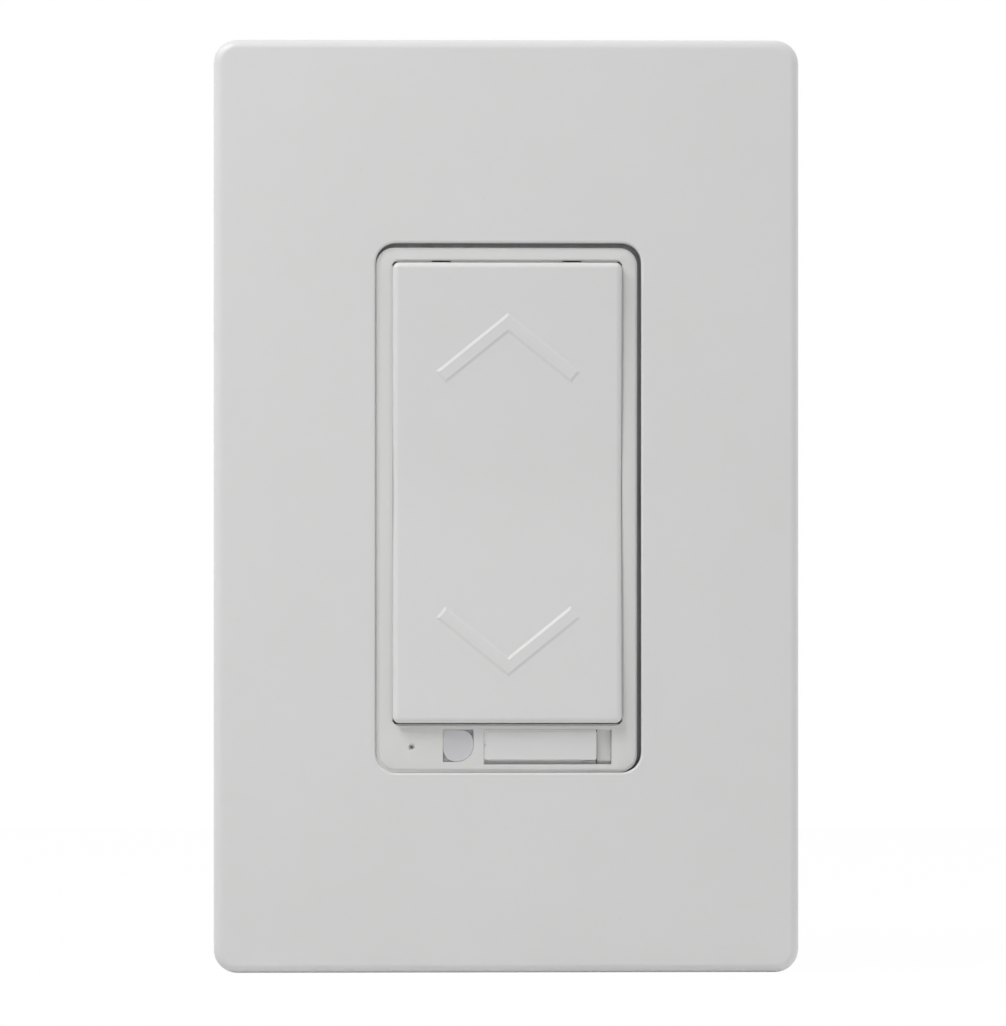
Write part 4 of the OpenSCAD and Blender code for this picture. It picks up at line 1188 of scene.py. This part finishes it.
def makeScrews(sets):
    tree = makeScrewTree(screwForm)
    for seed, (node, v) in enumerate(sets.items()):
        aims = [(-math.copysign(1, p[0]), 0, 0) if v["aim"] == "inwards" else v["aim"]
                for p in v["places"]]
        head = makeHead(*v["head"], v["slots"], screwForm)
        sizes = {key.capitalize(): v[key] * mm for key in ("radius", "length", "neck", "pitch")}
        piece = grownFrom(pointSet(node + "Set", v["places"], aims), tree, Head=head, Seed=seed,
                          Finish=finishes[slotOf[node]], **sizes)
        bpy.data.objects.remove(head)
        settle(smoothed(piece), "device", node)


makeScrews(screwSets)
print("screws made")

spring = {
    "radius": 2.0,
    "wire": 0.2,
    "turns": 3.0,
    "steps": 24,  # in a turn
    "wireSides": 10,
    "pressed": 0.74,  # share of its length that is left when its plunger is pressed
}


def makeSpringTree(v):
    tree, take, outputs = shapeTree("springCoil", Radius="Float", Wire="Float", Turns="Float",
                                    Length="Float")
    coil = coiled(tree, take["Radius"], take["Length"], take["Turns"], v["steps"], take["Wire"],
                  v["wireSides"])
    setAtPoints(tree, take, coil, outputs)
    return tree


def makeSprings(v):
    tree = makeSpringTree(v)
    for end, side in (("upper", 1), ("lower", -1)):
        node = end + "_switch_spring"
        low, high = corners(node)
        start = low.y + v["wire"]
        point = pointSet(end + "Spring", [(0.0, start, pivot.z + side * lever)], [(0, 1, 0)])
        piece = grownFrom(point, tree, Radius=v["radius"] * mm, Wire=v["wire"] * mm,
                          Turns=v["turns"], Length=(high.y - v["wire"] - start) * mm,
                          Finish=finishes[slotOf[node]])
        settle(smoothed(piece), "device", node)
        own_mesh(piece)


makeSprings(spring)
print("springs made")


# Inner works keep their solids and take a finish each

for node, piece in frame["nodes"].items():
    if not piece.hide_render:
        for place in piece.material_slots:
            place.material = finishes[slotOf[node]]


# Stage, light and camera

studio = {
    "floorSize": 0.9,
    "floorColour": (0.85, 0.85, 0.85, 1),
    "floorWhite": 0.98,  # share of plain white in what is seen of the floor
    # in degrees, tilt is off the line that the face looks along, rise above level
    "key": {"power": 2.9, "size": 0.32, "tilt": 62.0, "rise": 61.0},
    "edge": {"power": 1.15, "size": 0.3, "tilt": 80.0, "rise": 45.0},
    "away": 0.68,
    "glow": 0.03,  # world light from all round
    "backGlow": 0.75,  # and what is added from behind
    "topGlow": 0.05,
    "rightGlow": 1.2,
}
view = {
    "aim": (-0.45, -7.6, -0.66),
    "away": 1.0,
    "azimuth": -1.5,
    "lens": 275.0,
    "sensor": 36.0,
}


def seenRays(tree):
    light = addNode(tree, "ShaderNodeLightPath").outputs
    seen = mathNode("MAXIMUM", light["Is Camera Ray"], light["Is Glossy Ray"])
    return mathNode("MAXIMUM", seen, light["Is Transmission Ray"])


def makeFloor(v):
    bm = bmesh.new()
    bmesh.ops.create_grid(bm, x_segments=1, y_segments=1, size=v["floorSize"] / 2 / mm)
    bmesh.ops.translate(bm, verts=bm.verts, vec=(0, 0, cadBox[0][2] / mm))
    floor = newPiece("floor", bm)
    material = bpy.data.materials.new("paleFloor")
    material.use_nodes = True
    tree = material.node_tree
    tree.nodes.clear()
    glow = fedNode(tree, "ShaderNodeEmission", Color=(1, 1, 1, 1), Strength=1.0)
    matt = fedNode(tree, "ShaderNodeBsdfDiffuse", Color=v["floorColour"])
    share = mathNode("MULTIPLY", seenRays(tree), v["floorWhite"])
    mixed = feedInOrder(addNode(tree, "ShaderNodeMixShader"), share, matt, glow)
    feed(addNode(tree, "ShaderNodeOutputMaterial"), Surface=mixed)
    floor.data.materials.append(material)


def makeWorld(v):
    world = scene.world = bpy.data.worlds.new("studioGlow")
    world.use_nodes = True
    tree = world.node_tree
    back = tree.nodes["Background"]
    direction = addNode(tree, "ShaderNodeSeparateXYZ")
    feed(direction, Vector=addNode(tree, "ShaderNodeTexCoord").outputs["Generated"])
    glow = v["glow"]
    for axis, share in (("X", v["rightGlow"]), ("Y", v["backGlow"]), ("Z", v["topGlow"])):
        side = rangeNode(direction.outputs[axis], 0.0, 1.0, 0.0, share)
        glow = mathNode("ADD", side, glow)
    strength = addNode(tree, "ShaderNodeMix", data_type="FLOAT")
    feed(strength, Factor=seenRays(tree), A=glow, B=1.0)
    feed(back, Color=(1, 1, 1, 1), Strength=strength.outputs[0])


def makeLamp(name, v, away):
    tilt, rise = math.radians(v["tilt"]), math.radians(v["rise"])
    direction = Vector((-math.sin(tilt) * math.cos(rise), -math.cos(tilt),
                        math.sin(tilt) * math.sin(rise)))
    light = bpy.data.lights.new(name, "AREA")
    light.shape = "SQUARE"
    light.size = v["size"]
    light.energy = v["power"]
    lamp = linked(name, light)
    lamp.location = direction * away
    lamp.rotation_euler = direction.to_track_quat("Z", "Y").to_euler()


def makeCamera(v):
    turn = math.radians(v["azimuth"])
    lensData = bpy.data.cameras.new("photoView")
    lensData.lens = v["lens"]
    lensData.sensor_width = v["sensor"]
    lensData.clip_start = 0.01
    eye = scene.camera = linked("photoView", lensData)
    away = Vector((math.sin(turn), -math.cos(turn), 0.0))
    eye.location = Vector(v["aim"]) * mm + away * v["away"]
    eye.rotation_euler = away.to_track_quat("Z", "Y").to_euler()


makeFloor(studio)
makeWorld(studio)
for lamp in ("key", "edge"):
    makeLamp(lamp + "Softbox", studio[lamp], studio["away"])
makeCamera(view)
scene.view_settings.view_transform = "Standard"
print("stage made")
